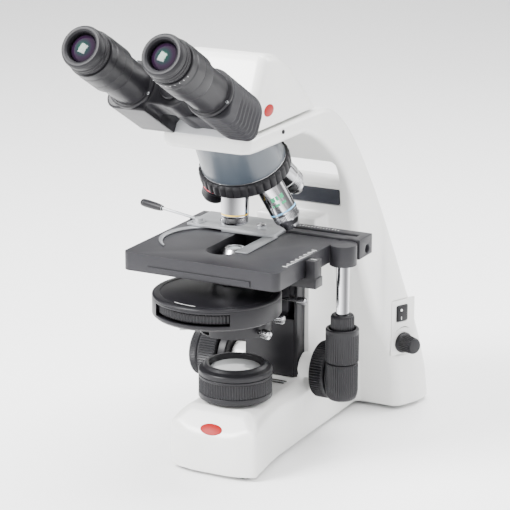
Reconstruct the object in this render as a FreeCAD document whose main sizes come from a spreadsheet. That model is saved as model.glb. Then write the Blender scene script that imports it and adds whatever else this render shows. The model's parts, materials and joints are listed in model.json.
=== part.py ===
"""Upright binocular phase-contrast microscope, as a parametric document of separate sub-parts.

Millimetres, +Z up. Every piece is drawn about the optical axis (X to the user's right, Y away from the
user, Z up from the desk) and then placed in the row frame, whose origin is the bottom centre of the
whole instrument's box. The two offsets are cells of the sheet.
"""
import FreeCAD, Part
import os
import re
import Sketcher
from math import cos, sin, radians

V = FreeCAD.Vector
doc = FreeCAD.newDocument("microscope")

# ---------------------------------------------------------------- driving dimensions
DIMENSIONS = {
    # row frame
    "axis_offset_x": 11.85, "axis_offset_y": -17.38,
    # stand
    "foot_height": 4, "base_top": 62, "foot_front": -53, "neck_half": 37, "foot_half": 45, "nose_lip_height": 37,
    "foot_slope_top": -30, "base_joint": 184, "wall": 5, "arm_top": 321, "nose_under": 304, "nose_front": -57,
    "column_half": 31.5, "column_front": 101, "leg_half_low": 95, "leg_half_top": 46, "window_half": 47,
    "window_low": 238, "window_high": 264,
    # light path
    "collector_radius": 34, "collector_top": 95, "filter_seat_radius": 24,
    # focus drive
    "focus_axis_y": 85, "focus_axis_z": 70, "coarse_radius": 27, "fine_radius": 24, "shaft_radius": 4,
    "tube_radius": 6, "coarse_inner": 44.3, "coarse_outer": 59.7, "fine_outer": 70, "gear_box_half": 24,
    "gear_box_front": 71, "gear_box_top": 118, "carriage_half": 14, "carriage_top": 181, "boss_radius": 13,
    "box_side": 27.2, "cheek_front": 88, "cheek_top": 158, "low_cheek_top": 86, "left_reach": 14,
    # stage
    "plate_half": 77.5, "plate_front": -68.6, "plate_rear": 55, "strip_rear": 83, "strip_right": 98,
    "stage_top": 207, "plate_under": 190.4, "slot_half": 15, "slot_front": -38, "stage_drive_x": 87,
    "stage_drive_y": 44, "drive_rod_radius": 6, "drive_tube_radius": 4.5, "stage_knob_radius": 15.5,
    # condenser
    "turret_centre_y": -35, "turret_radius": 58, "turret_low": 152, "turret_high": 172,
    "condenser_radius": 25.5,
    # nosepiece
    "nose_tilt": 25, "nose_centre_y": 24.5, "nose_centre_z": 264.4, "nose_port_circle": 27,
    "port_radius": 10.16, "nose_ring_radius": 42,
    # head
    "head_half": 42, "head_under": 321.4, "tube_angle": 30, "eye_half_spacing": 37.5, "tube_axis_y": -44,
    "tube_axis_z": 330, "arm_start": 20.5, "arm_end": 84, "eye_face": 174, "prism_radius": 21.5,
    "eyepiece_radius": 19.5,
}

sheet = doc.addObject("Spreadsheet::Sheet", "driving_dimensions")
for row, (alias, value) in enumerate(DIMENSIONS.items(), start=1):
    sheet.set("A%d" % row, alias)
    sheet.set("B%d" % row, str(value))
    sheet.setAlias("B%d" % row, alias)
doc.recompute()

WORD = re.compile(r"[a-z][a-z_]+")
NODES = []


def dim(alias):
    """A cell's value, for shapes that are computed here rather than bound."""
    return float(sheet.get(alias))


def formula(text):
    """An expression with each alias read from the sheet."""
    return WORD.sub(lambda m: "driving_dimensions." + m[0] if m[0] in DIMENSIONS else m[0], text)


def value_of(item):
    """The number that an expression or a plain number stands for."""
    if not isinstance(item, str):
        return float(item)
    probe = doc.getObject("probe") or doc.addObject("App::FeaturePython", "probe")
    if not hasattr(probe, "answer"):
        probe.addProperty("App::PropertyFloat", "answer")
    probe.setExpression("answer", formula(item))
    probe.recompute()
    return float(probe.answer)


def bind(obj, prop, item):
    """Set a property to a number, or bind it to the sheet with an expression."""
    if isinstance(item, str):
        obj.setExpression(prop, formula(item))
    elif "." not in prop:
        setattr(obj, prop, item)


def locate(obj, at=(0, 0, 0), turn=None):
    """Place an object: at holds numbers or expressions, turn is a rotation."""
    start = V(*[0 if isinstance(a, str) else a for a in at])
    obj.Placement = FreeCAD.Placement(start, turn or FreeCAD.Rotation())
    for axis, item in zip("xyz", at):
        if isinstance(item, str):
            bind(obj, "Placement.Base." + axis, item)
    return obj


def box(x, y, z, at):
    """A block with its low corner at a point."""
    made = doc.addObject("Part::Box", "block")
    for prop, item in zip(("Length", "Width", "Height"), (x, y, z)):
        bind(made, prop, item)
    return locate(made, at)


def slab(half, y, z, at_y, at_z):
    """A block centred on the optical plane x = 0."""
    return box("2*(%s)" % half, y, z, ("-(%s)" % half, at_y, at_z))


TURNS = {
    "z": FreeCAD.Rotation(),
    "x": FreeCAD.Rotation(V(0, 1, 0), 90),
    "-x": FreeCAD.Rotation(V(0, 1, 0), -90),
    "y": FreeCAD.Rotation(V(1, 0, 0), -90),
    "-y": FreeCAD.Rotation(V(1, 0, 0), 90),
    "-z": FreeCAD.Rotation(V(1, 0, 0), 180),
}


def rod(radius, length, at=(0, 0, 0), way="z"):
    """A cylinder from a point along a named way, or along a rotation's own +Z."""
    made = doc.addObject("Part::Cylinder", "rod")
    bind(made, "Radius", radius)
    bind(made, "Height", length)
    return locate(made, at, TURNS.get(way, way) if isinstance(way, str) else way)


def cut(base, *tools):
    """The base without its tools."""
    for tool in tools:
        made = doc.addObject("Part::Cut", "cut")
        made.Base, made.Tool = base, tool
        base = made
    return base


def fuse(*pieces):
    """Several solids as one."""
    made = doc.addObject("Part::MultiFuse", "joined")
    made.Shapes = list(pieces)
    made.Refine = True
    return made


def common(a, b):
    """The space that two solids share."""
    made = doc.addObject("Part::Common", "shared")
    made.Base, made.Tool = a, b
    return made


def group(*pieces):
    """Separate solids that make one node, such as a set of screws."""
    made = doc.addObject("Part::Compound", "set")
    made.Links = list(pieces)
    return made


def origin_plane(body, role):
    """One of a body's own origin planes."""
    return [f for f in body.Origin.OriginFeatures if f.Role == role][0]


def outline_sketch(body, role, outline):
    """A closed polygon of (across, up) corners, each held by dimensions bound to the sheet."""
    sketch = body.newObject("Sketcher::SketchObject", "outline")
    sketch.AttachmentSupport = [(origin_plane(body, role), "")]
    sketch.MapMode = "FlatFace"
    corners = [V(value_of(a), value_of(b), 0) for a, b in outline]
    count = len(corners)
    for i in range(count):
        sketch.addGeometry(Part.LineSegment(corners[i], corners[(i + 1) % count]), False)
    for i in range(count):
        sketch.addConstraint(Sketcher.Constraint("Coincident", i, 2, (i + 1) % count, 1))
    for i, (corner, pair) in enumerate(zip(corners, outline)):
        for kind, place, item, axis in (("DistanceX", corner.x, pair[0], -2), ("DistanceY", corner.y, pair[1], -1)):
            if abs(place) < 1e-9:
                sketch.addConstraint(Sketcher.Constraint("PointOnObject", i, 1, axis))
                continue
            number = sketch.addConstraint(Sketcher.Constraint(kind, -1, 1, i, 1, place))
            if isinstance(item, str):
                sketch.setExpression("Constraints[%d]" % number, formula(item))
    return sketch


def turned(profile, at=(0, 0, 0), way="z"):
    """A body of revolution: (radius, height) corners turned about the vertical axis."""
    body = doc.addObject("PartDesign::Body", "turned")
    sketch = outline_sketch(body, "XZ_Plane", profile)
    lathe = body.newObject("PartDesign::Revolution", "lathe")
    lathe.Profile = sketch
    lathe.ReferenceAxis = (sketch, ["V_Axis"])
    lathe.Angle = 360
    return locate(body, at, TURNS[way] if isinstance(way, str) else way)


def ring(outer, inner, low, high, at=(0, 0, 0), way="z"):
    """A plain sleeve."""
    return turned([(inner, low), (outer, low), (outer, high), (inner, high)], at, way)


def prism(role, outline, length, both=False):
    """An outline on an origin plane, padded along the plane's normal or half to each side."""
    body = doc.addObject("PartDesign::Body", "prism")
    sketch = outline_sketch(body, role, outline)
    pad = body.newObject("PartDesign::Pad", "pad")
    pad.Profile = sketch
    bind(pad, "Length", length)
    pad.Midplane = both
    return body


def rounded(base, radius, choose):
    """Round the edges that a test on an edge's middle and direction picks."""
    doc.recompute()
    made = doc.addObject("Part::Fillet", "rounded")
    made.Base = base
    picked = []
    for i, edge in enumerate(base.Shape.Edges, start=1):
        middle = edge.valueAt((edge.FirstParameter + edge.LastParameter) / 2)
        if choose(edge, middle):
            picked.append((i, radius, radius))
    made.Edges = picked
    return made


def upright(edge):
    """True for a straight vertical edge."""
    ends = edge.Vertexes
    if len(ends) < 2:
        return False
    run = ends[1].Point.sub(ends[0].Point)
    return abs(run.z) > 0.99 * run.Length > 0.5


def node(label, obj):
    """Name a finished sub-part and move it from the optical axis into the row frame."""
    shell = doc.addObject("Part::Compound", label)
    shell.Links = [obj]
    shell.Label = label
    bind(shell, "Placement.Base.x", "axis_offset_x")
    bind(shell, "Placement.Base.y", "axis_offset_y")
    NODES.append(shell)
    return shell


# ---------------------------------------------------------------- stand
def base_casting():
    """Hollow foot and neck: a bowed front, a sloping lamp deck and a cavity open below."""
    plan = prism("XY_Plane", [
        ("-foot_half", "foot_front+7"), (-22, "foot_front+1"), (0, "foot_front"), (22, "foot_front+1"),
        ("foot_half", "foot_front+7"), ("neck_half+1", 0), ("neck_half", 60), ("neck_half", "base_joint"),
        ("-neck_half", "base_joint"), ("-neck_half", 60), ("-neck_half-1", 0)], "base_top")
    side = prism("YZ_Plane", [
        ("foot_front-1", "foot_height"), ("base_joint", "foot_height"), ("base_joint", "base_top"),
        ("foot_slope_top", "base_top"), ("foot_front-1", "nose_lip_height")], 200, True)
    end = prism("XZ_Plane", [
        ("-foot_half", 0), ("foot_half", 0), ("foot_half", "base_top-16"), ("neck_half-8", "base_top"),
        ("8-neck_half", "base_top"), ("-foot_half", "base_top-16")], 600, True)
    body = common(common(plan, side), end)
    body = rounded(body, 6, lambda e, m: upright(e) and m.y < -40)
    hollow = slab("neck_half-wall-2", "base_joint-foot_front-40", "base_top-26", "foot_front+22", -1)
    deck = slab("neck_half-wall-9", "base_joint-foot_front-45", "base_top-9", "foot_front+33", -1)
    rack_well = slab(6, 10, 30, 88, "base_top-20")
    lamp_well = rod("collector_radius-8", 40, (0, 0, "base_top-20"))
    vents = [box(12, 2.2, 30, (12, y, "base_top-20")) for y in (52, 58)]
    foot = cut(body, hollow, deck, rack_well, lamp_well, *vents)
    shaft = (0, "focus_axis_y", "focus_axis_z")
    cheek_size = ("column_half-gear_box_half-0.3", "column_front-cheek_front-0.1", "low_cheek_top-base_top+4")
    cheek = box(*cheek_size, ("gear_box_half+0.3", "cheek_front", "base_top-4"))
    left_cheek = box(*cheek_size, ("-column_half", "cheek_front", "base_top-4"))
    boss = rod("boss_radius", "coarse_inner-0.7-box_side", ("box_side+0.2", shaft[1], shaft[2]), "x")
    left_boss = rod("boss_radius", "coarse_inner-0.7-box_side", ("0.5-coarse_inner", shaft[1], shaft[2]), "x")
    shaft_way = rod("tube_radius+0.05", 120, (-60, shaft[1], shaft[2]), "x")
    return cut(fuse(foot, cheek, left_cheek, boss, left_boss), shaft_way)


def arm_casting():
    """Hollow tower with two leaning legs, a through window, the column for the focus slide and the nose."""
    side = prism("YZ_Plane", [
        (238, 4), (236, 13), (218, 70), (200, 121), (185, 170), (174, 207), (165, 237), (155, 263),
        (142, 286), (124, 305), (104, 317), (92, "arm_top"), ("nose_front", "arm_top"),
        ("nose_front", "nose_under"), (46, "nose_under"), (64, 296.5), (81, 287), (99, 272), (112, 255),
        (119, 236), (121, 211), (136, 160), (160, 100), (178, 62), (184, 34), (186, 4)], 240, True)
    front = prism("XZ_Plane", [
        ("-leg_half_low", 4), ("leg_half_low", 4), (94, 40), (91, 75), (86, 115), (68, 207), (58, 250),
        (50, 290), ("leg_half_top", "arm_top"), ("-leg_half_top", "arm_top"), (-50, 290), (-58, 250),
        (-68, 207), (-86, 115), (-91, 75), (-94, 40)], 700, True)
    plan = prism("XY_Plane", [
        (-30, "nose_front"), (30, "nose_front"), (40, -50), (44, -36), (46, 0), (58, 110), (68, 160),
        (75.5, 174), (91, 208.5), ("leg_half_low", 232), (86, 240), (-86, 240), ("-leg_half_low", 232),
        (-91, 208.5), (-75.5, 174), (-68, 160), (-58, 110), (-46, 0), (-44, -36), (-40, -50)], 400)
    tower = common(common(side, front), plan)
    column = prism("YZ_Plane", [
        ("column_front", "base_top"), (182, "base_top"), (166, 100), (142, 160), (127, 210),
        ("column_front", 210)], "2*column_half", True)
    body = fuse(tower, column)
    column_hollow = slab("column_half-wall", 18, "180-base_top", "column_front+wall+1", "base_top-1")
    neck_clear = slab("neck_half+0.5", "base_joint-100", "base_top+1", 100, -1)
    window = slab("window_half", 150, "window_high-window_low", 80, "window_low")
    cavity = prism("YZ_Plane", [
        (191, -1), (231, -1), (230, 13), (212, 68), (194, 119), (180, 165), (170, 200), (128, 200),
        (142, 160), (168, 100), (190, 66), (191, 34)], 120, True)
    arch_cavity = prism("YZ_Plane", [
        (72, 299), (90, 289), (104, 278), (110, 270), (140, 270), (132, 284), (118, 298), (98, 309), (72, 313)],
        84, True)
    inlay_groove = slab("window_half", 14, 16, 110, 219)
    throat = rod(19, 40, (0, 0, 290))
    inlet = slab(14.3, 40, 20.6, 205, 29.7)
    panel_seat = fuse(panel_box(12, 30, 56, 3), panel_box(9.4, 16.8, 20.8, -4.2, -2, 14))
    return cut(body, neck_clear, column_hollow, cavity, window, arch_cavity, inlay_groove, throat, inlet,
               panel_seat)


PANEL_TURN = FreeCAD.Rotation(V(0, 0, 1), -24.2)
PANEL_MIDDLE = V(83.2, 191.2, 86)


def panel_point(out, along, up):
    """A point on the control panel: out of it, along it towards the back, and up it."""
    return PANEL_MIDDLE + PANEL_TURN.multVec(V(out, along, up))


def panel_box(thick, wide, tall, out, along=0, up=0):
    """A block in the panel's own directions, from a depth below its face outwards."""
    low = panel_point(out - thick / 2, along - wide / 2, up - tall / 2)
    made = doc.addObject("Part::Box", "block")
    made.Length, made.Width, made.Height = thick, wide, tall
    made.Placement = FreeCAD.Placement(low, PANEL_TURN)
    return made


PANEL_OUT = PANEL_TURN.multiply(TURNS["x"])


def stand_nodes():
    """Castings and everything fixed to them."""
    node("base_casting", base_casting())
    node("arm_casting", arm_casting())
    cover = prism("XY_Plane", [
        (-34, -42), (34, -42), (32, 187), (76, 191), (84, 232), (-84, 232), (-76, 191), (-32, 187)], 1)
    cover.Placement.Base = V(0, 0, 3)
    places = [(18, -38), (-18, -38), (28, 150), (-28, 150), (60, 222), (-60, 222)]
    node("base_cover", cut(cover, *[rod(3, 3, (x, y, 2)) for x, y in places]))
    node("cover_screws", group(*[rod(2.9, 1, (x, y, 3)) for x, y in places]))
    feet = [(28, -34), (-28, -34), (70, 218), (-70, 218)]
    node("rubber_feet", group(*[turned([(0, 0), (8, 0), (9, 3), (0, 3)], (x, y, 0)) for x, y in feet]))
    node("collector_housing", turned([
        (21, "base_top"), (29.5, "base_top"), (29.5, 85.3), ("collector_radius", 85.5), ("collector_radius", 90),
        (33, 91.5), (27.5, "collector_top"), ("filter_seat_radius", "collector_top"),
        ("filter_seat_radius", 88), (21, 88)]))
    node("field_lens", turned([(0, 79), (20.7, 79), (20.7, 82), (14, 85), (7, 86.6), (0, 87.2)]))
    node("lamp_module", turned([
        (0, 4), (7, 4), (7, 36), (18, 36), (18, 39), (12, 39), (12, 42), (18, 42), (18, 45), (12, 45), (12, 47),
        (18, 47), (18, 50), (8, 50), (8, 52), (4, 52), (3, 54), (0, 55)]))
    board = slab(32, 30, 1.6, 193, 14)
    posts = [rod(2.5, 10, (x, y, 4)) for x in (-28, 28) for y in (197, 219)]
    node("power_supply", fuse(board, slab(14, 20, 10, 196, 15.6), *posts))
    socket = cut(slab(14, 20, 20, 206, 30), slab(11, 20, 15, 210, 32.5))
    blades = [box(2, 13, 6, (x - 1, 209, 37)) for x in (-7, 0, 7)]
    node("power_inlet", fuse(socket, *blades))
    node("focus_guide_rail", slab(8, 5.8, 110, "column_front-5.8", 76))
    gear_box = slab("gear_box_half", "column_front-gear_box_front", "gear_box_top-base_top", "gear_box_front",
                    "base_top")
    apron = slab("box_side", "cheek_front-gear_box_front-1.2", "gear_box_top-base_top", "gear_box_front+1",
                 "base_top")
    upright = box("box_side-gear_box_half-0.3", "cheek_front-gear_box_front-1.2", "cheek_top-base_top",
                  ("gear_box_half+0.3", "gear_box_front+1", "base_top"))
    under = box(120, 80, 40, (-60, 40, "base_top-40"))
    well = slab("carriage_half+1", "column_front-gear_box_front", 80, "gear_box_front+7", "base_top+24")
    rack_way = slab(5, 12, 80, 89.5, "base_top-1")
    rail_way = slab(9, 6.5, 80, "column_front-6.5", "base_top-1")
    shaft_way = rod("tube_radius+0.05", 120, (-60, "focus_axis_y", "focus_axis_z"), "x")
    behind = slab("column_half+0.2", 40, 80, "column_front", "base_top-20")
    box_body = cut(fuse(gear_box, apron, upright), under, behind, well, rack_way, rail_way)
    node("focus_gear_box", cut(box_body, shaft_way))
    panel = fuse(panel_box(2.8, 29.6, 55.6, -1.5), panel_box(9, 16.4, 20.4, -4.2, -2, 14))
    node("control_panel", cut(panel, panel_box(14, 12.4, 17, 0, -2, 14)))
    node("head_dovetail_ring", turned([(20, "arm_top"), (28, "arm_top"), (30, "arm_top+4"), (20, "arm_top+4")]))


def control_nodes():
    """Dimmer, switch rocker and the ring that opens the field diaphragm."""
    out = FreeCAD.Placement(panel_point(0.2, 0, -16), PANEL_OUT)
    dimmer = turned([(0, 0), (10.2, 0), (10.2, 2.5), (8.6, 5), (7.6, 17), (6.6, 18), (0, 18)])
    dimmer.Placement = out
    node("dimmer_knob", dimmer)
    node("switch_rocker", panel_box(6, 11.6, 15.4, -1.6, -2, 14))
    node("field_ring", ring("collector_radius", "collector_radius-4.2", "base_top+1.5", 85))


# ---------------------------------------------------------------- focus drive
def focus_nodes():
    """Coarse and fine knobs on coaxial shafts, and the carriage that carries the stage."""
    axis = (0, "focus_axis_y", "focus_axis_z")
    coarse, fine = [], []
    plain = [("coarse_radius-3", "coarse_inner")]
    ringed = [
        ("coarse_radius-4", "coarse_inner"), ("coarse_radius-3", "coarse_inner+1"),
        ("coarse_radius-3", "coarse_inner+8.3"), ("coarse_radius-7", "coarse_inner+8.3"),
        ("coarse_radius-7", "coarse_inner+9.3"), ("coarse_radius-3", "coarse_inner+9.3")]
    for way, out, start, rim in (("x", "", plain, "+2"), ("-x", "+left_reach", ringed, "+11.3")):
        coarse.append(turned([
            ("tube_radius", "coarse_inner"), *start, ("coarse_radius", "coarse_inner" + rim),
            ("coarse_radius", "coarse_outer-1.5" + out), ("coarse_radius-1.5", "coarse_outer" + out),
            ("tube_radius", "coarse_outer" + out)], axis, way))
        fine.append(turned([
            ("shaft_radius-1", "coarse_outer+0.4" + out), ("fine_radius", "coarse_outer+0.4" + out),
            ("fine_radius+1", "coarse_outer+2" + out), ("fine_radius+1", "fine_outer-3" + out),
            ("fine_radius-2", "fine_outer" + out), (9, "fine_outer" + out), (8, "fine_outer-1.5" + out),
            ("shaft_radius-1", "fine_outer-1.5" + out)], axis, way))
    span = ("-coarse_outer-left_reach", "focus_axis_y", "focus_axis_z")
    shaft = fuse(*coarse, rod("tube_radius", "2*coarse_outer+left_reach", span, "x"))
    node("coarse_knobs", cut(shaft, rod("shaft_radius+0.06", 160, (-85, axis[1], axis[2]), "x")))
    fine.append(rod("shaft_radius", "2*fine_outer+left_reach-3.4", ("1.7-fine_outer-left_reach", axis[1], axis[2]),
                    "x"))
    node("fine_knobs", fuse(*fine))
    wide = slab("gear_box_half", "column_front-6.5-gear_box_front", "carriage_top-142", "gear_box_front", 142)
    low = slab("carriage_half", 16, 40, "gear_box_front+7.6", 110)
    rack = slab(4, 3, 42, 91.3, 72)
    slide_way = slab(8.1, 10, 110, "column_front-6.2", 100)
    knob_bore = rod(3.05, 40, (-30, 80, 160), "x")
    node("focus_carriage", cut(fuse(wide, low, rack), slide_way, knob_bore))
    arm = box(34, 14, 8.8, (55, -17, "carriage_top"))
    index = box(8.8, 14, 25, (79.2, -17, "carriage_top"))
    plate = slab(58, 104, 8.8, -26, "carriage_top")
    node("stage_bracket", cut(fuse(plate, arm, index), rod(22, 20, (0, 0, 175))))


# ---------------------------------------------------------------- mechanical stage
def stage_nodes():
    """Plate, rear rail, coaxial drive and slide holder."""
    top = slab("plate_half", "plate_rear-plate_front", "stage_top-plate_under", "plate_front", "plate_under")
    top = rounded(top, 7, lambda e, m: upright(e) and m.y < 0)
    slot = slab("slot_half", "50-slot_front-slot_half", 60, "slot_front+slot_half", 180)
    slot_end = rod("slot_half", 60, (0, "slot_front+slot_half", 180))
    under_front = slab(68, 16, 10.4, -58, 190)
    under_sides = [box(46, 80, 10.4, (x, -34, 190)) for x in (-68, 22)]
    boss = fuse(rod(12.5, 19, ("stage_drive_x", "stage_drive_y", 188)),
                box(12, 18, 14, (75.5, 35, "plate_under+1")))
    boss_bore = rod("drive_rod_radius", 17, ("stage_drive_x", "stage_drive_y", 187))
    node("stage_plate", cut(fuse(top, boss), slot, slot_end, under_front, *under_sides, boss_bore))
    rail = box("plate_half+strip_right", "strip_rear-plate_rear-0.2", "209-plate_under",
               ("-plate_half", "plate_rear+0.2", "plate_under"))
    groove = box(160, 5.6, 8, (-70, 66, 204))
    hole = rod(4, 14, (90, 72, 197), "x")
    boss_room = rod(12.8, 30, ("stage_drive_x", "stage_drive_y", 180))
    node("stage_rail", cut(rail, groove, hole, boss_room))
    drive = ("stage_drive_x", "stage_drive_y", 0)
    node("drive_column", ring("drive_rod_radius", "drive_tube_radius+0.06", 118.5, 203, drive))
    node("drive_collar", ring(11, "drive_rod_radius+0.05", 119, 141, drive))
    node("stage_y_knob", turned([
        (2.36, 96), ("stage_knob_radius", 96), ("stage_knob_radius", 127), (14.5, 128), (12.5, 128), (12.5, 117),
        ("drive_tube_radius", 117), ("drive_tube_radius", 198), (2.36, 198)], drive))
    node("stage_x_knob", turned([
        (0, 60), (12.5, 60), (14, 62), (15, 67), (15, 95.4), (2.3, 95.4), (2.3, 198), (0, 198)], drive))
    bar = box(90, 25, 4, (-66, 29.6, 207.4))
    back = box(90, 30, 2, (-66, 46, 209.4))
    tongue = box(50, 5, 6.4, (-30, 66.3, 204.4))
    jaw = box(12, 60, 1.1, (14, -26, 207.3))
    screws = [turned([(0, 210), (4, 210), (4, 214.2), (3, 215), (0, 215)], (x, 44, 0)) for x in (-34, 4)]
    finger_way = box(40, 30, 2.4, (-70, 26, 206.6))
    node("slide_holder", cut(fuse(bar, back, tongue, jaw, *screws), finger_way, rod(6.4, 10, (-58, 38, 206))))
    finger = crescent()
    hub = rod(6.1, 5.2, (-58, 38, 207.3))
    shank = rod(1.3, 48, (-58, 38, 213.4), FreeCAD.Rotation(V(0, 0, 1), V(-50, 9, 4)))
    boss_top = rod(4, 4.6, (-58, 38, 210.4))
    tip = V(-58, 38, 213.4) + V(-50, 9, 4).normalize() * 44
    grip = turned([(0, 0), (2.6, 0), (3.4, 8), (3.6, 22), (2.6, 25), (0, 25)])
    grip.Placement = FreeCAD.Placement(tip, FreeCAD.Rotation(V(0, 0, 1), V(-50, 9, 4)))
    node("holder_finger", fuse(finger, hub, shank, boss_top, grip))


def crescent():
    """Thin curved finger that narrows from the holder's pivot to its tip on the slide's left edge."""
    steps, reach, middle = 12, 46, V(-26.5, 0.5)
    outer, inner = [], []
    for i in range(steps + 1):
        share = i / steps
        turn = radians(120 + 114 * share)
        way = V(cos(turn), sin(turn))
        outer.append(tuple(middle + way * reach)[:2])
        inner.append(tuple(middle + way * (reach - 7.5 + 6.3 * share * share))[:2])
    finger = prism("XY_Plane", outer + inner[::-1], 1.1)
    finger.Placement.Base = V(0, 0, 207.3)
    return finger


# ---------------------------------------------------------------- condenser
def condenser_nodes():
    """Carrier, sleeve, iris, phase turret and top lens."""
    carrier = fuse(rod(33, 23.5, (0, 0, 126.5)), slab(13, 44, 18, 26, 130), slab(20, 3, 30, 67.5, 126.5))
    iris_slot = box(60, 44, 6.4, (-70, -44, 127.6))
    node("condenser_carrier", cut(carrier, rod("condenser_radius+0.2", 40, (0, 0, 120)), iris_slot))
    sleeve = ring("condenser_radius", 12, 134.2, 154)
    lever = rod(1.5, 26, (-17, -13, 131), FreeCAD.Rotation(V(0, 0, 1), V(-17, -13, 0)))
    knob = rod(3, 7, (-35, -26.8, 131), FreeCAD.Rotation(V(0, 0, 1), V(-17, -13, 0)))
    node("iris_lever", fuse(ring(24, 12, 128.4, 133.8), lever, knob))
    middle = (0, "turret_centre_y", 0)
    shell = turned([
        (0, "turret_low"), ("turret_radius-2", "turret_low"), ("turret_radius", "turret_low+2"),
        ("turret_radius", 169.4), (55.4, 169.4), (55.4, 154.6), (0, 154.6)], middle)
    window = box(74, 22, 11, (-37, -97, 156.6))
    pin = rod(4, 16, (0, "turret_centre_y", 153.4))
    node("condenser_housing", cut(fuse(cut(shell, window), sleeve, pin), rod(12, 30, (0, 0, 140))))
    node("turret_cover", cut(turned([
        (0, 169.4), ("turret_radius", 169.4), ("turret_radius", 171), ("turret_radius-1", "turret_high"),
        (0, "turret_high")], middle), rod(12, 30, (0, 0, 160))))
    wheel = turned([(4.05, 157.6), (55, 157.6), (55, 166.4), (4.05, 166.4)], middle)
    stops = [rod(10, 20, (35 * sin(radians(t)), -35 + 35 * cos(radians(t)), 150)) for t in range(0, 360, 72)]
    node("phase_wheel", cut(wheel, *stops))
    node("condenser_top", turned([
        (8, "turret_high"), (19, "turret_high"), (19, 180), (13, 188), (12.4, 199), (9.4, 203.8), (6, 203.8),
        (6, 199), (8, 199)]))
    for name, turn, high, reach in (("front", 68, 131.5, 33), ("side", 98, 140, 33)):
        way = V(sin(radians(turn)), -cos(radians(turn)), 0)
        screw = turned([(0, 0), (2.2, 0), (2.2, 4.4), (4.4, 5), (4.4, 13), (3.6, 14), (0, 14)])
        screw.Placement = FreeCAD.Placement(V(0, 0, high) + way * reach, FreeCAD.Rotation(V(0, 0, 1), way))
        node("centring_screw_" + name, screw)
    key = turned([(0, 0), (1.5, 0), (1.5, 17), (3.4, 17.6), (3.4, 26), (0, 26)])
    key.Placement = FreeCAD.Placement(V(42.7, 6, 160.5), FreeCAD.Rotation(V(0, 0, 1), V(1, 0, 0)))
    node("turret_key", key)
    node("condenser_knob", turned([
        (0, -8), (3, -8), (3, 25), (10, 25.2), (10.5, 27), (10.5, 38), (9, 40), (0, 40)], (0, 80, 160), "-x"))


# ---------------------------------------------------------------- nosepiece
def nose_placement(spin=0, out=0, tilt=0, along=0):
    """A place on the revolving nosepiece: turned round its axis, moved out, tipped, moved along itself."""
    turret = FreeCAD.Placement(V(0, dim("nose_centre_y"), dim("nose_centre_z")),
                               FreeCAD.Rotation(V(1, 0, 0), 180 + dim("nose_tilt")))
    spun = FreeCAD.Placement(V(), FreeCAD.Rotation(V(0, 0, 1), -spin))
    moved = FreeCAD.Placement(V(0, out, 0), FreeCAD.Rotation(V(1, 0, 0), -tilt))
    return turret.multiply(spun).multiply(moved).multiply(FreeCAD.Placement(V(0, 0, along), FreeCAD.Rotation()))


def on_port(obj, spin, along=0):
    """Put a part on one of the five ports, its own +Z down the objective."""
    obj.Placement = nose_placement(spin, dim("nose_port_circle"), dim("nose_tilt"), along)
    return obj


OBJECTIVES = {
    "objective_low": (288, [(4.2, -5), (10.1, -5), (10.1, 0), (12.5, 0), (12.5, 11), (11.8, 12), (11.8, 19),
                            (9.5, 22), (4.2, 22)]),
    "objective_medium": (0, [(4.2, -5), (10.1, -5), (10.1, 0), (12.5, 0), (12.5, 19), (12, 20), (11.6, 25),
                             (10.4, 26.5), (4.2, 26.5)]),
    "objective_high": (72, [(4.2, -5), (10.1, -5), (10.1, 0), (12.7, 0), (12.7, 28), (12.2, 29), (12.2, 35),
                            (8, 41), (7.4, 44.3), (4.2, 44.3)]),
    "objective_oil": (144, [(4.2, -5), (10.1, -5), (10.1, 0), (12.7, 0), (12.7, 24), (12, 25), (12, 33),
                            (9.4, 34), (8.6, 39), (5.4, 44), (4.2, 44.4)]),
}


def nosepiece_nodes():
    """Collar under the arm, five-port turret and four objectives, with the fifth port open."""
    upper = doc.addObject("Part::Circle", "upper_rim")
    upper.Radius = 38
    upper.Placement.Base = V(0, 0, dim("nose_under"))
    lower = doc.addObject("Part::Circle", "lower_rim")
    lower.Radius = 38.5
    lower.Placement = nose_placement(along=-19)
    collar = doc.addObject("Part::Loft", "collar")
    collar.Sections = [upper, lower]
    collar.Solid = True
    axle_way = rod(5, 20, (0, 0, 0))
    axle_way.Placement = nose_placement(along=-32)
    axle = turned([(0, -31), (5, -31), (5, 7.4), (0, 7.4)])
    axle.Placement = nose_placement()
    node("nosepiece_collar", fuse(cut(collar, rod(11, 60, (0, 0, 250)), axle_way), axle))
    rotor = turned([(5.06, -18), (37, -18), (37, -4.66), (12, 7), (5.06, 7)])
    rotor.Placement = nose_placement()
    ports = [on_port(rod("port_radius", 40), spin, -25) for spin in range(0, 360, 72)]
    node("nosepiece_turret", cut(rotor, *ports))
    grip = turned([(37, -18.4), (40.5, -18.4), ("nose_ring_radius", -16.5), ("nose_ring_radius", -8),
                   (40.5, -6.4), (37, -6.4)])
    grip.Placement = nose_placement()
    node("nosepiece_grip", grip)
    for name, (spin, profile) in OBJECTIVES.items():
        node(name, on_port(turned(profile), spin, 0.04))


# ---------------------------------------------------------------- binocular head
def tube_placement(x, along=0):
    """A frame on a viewing tube's axis: +Z towards the eye."""
    lean = FreeCAD.Rotation(V(1, 0, 0), 90 - dim("tube_angle"))
    start = V(x, dim("tube_axis_y"), dim("tube_axis_z"))
    return FreeCAD.Placement(start + lean.multVec(V(0, 0, along)), lean)


def on_tube(obj, x, along=0):
    """Put a part on a tube's axis."""
    obj.Placement = tube_placement(x, along)
    return obj


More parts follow.
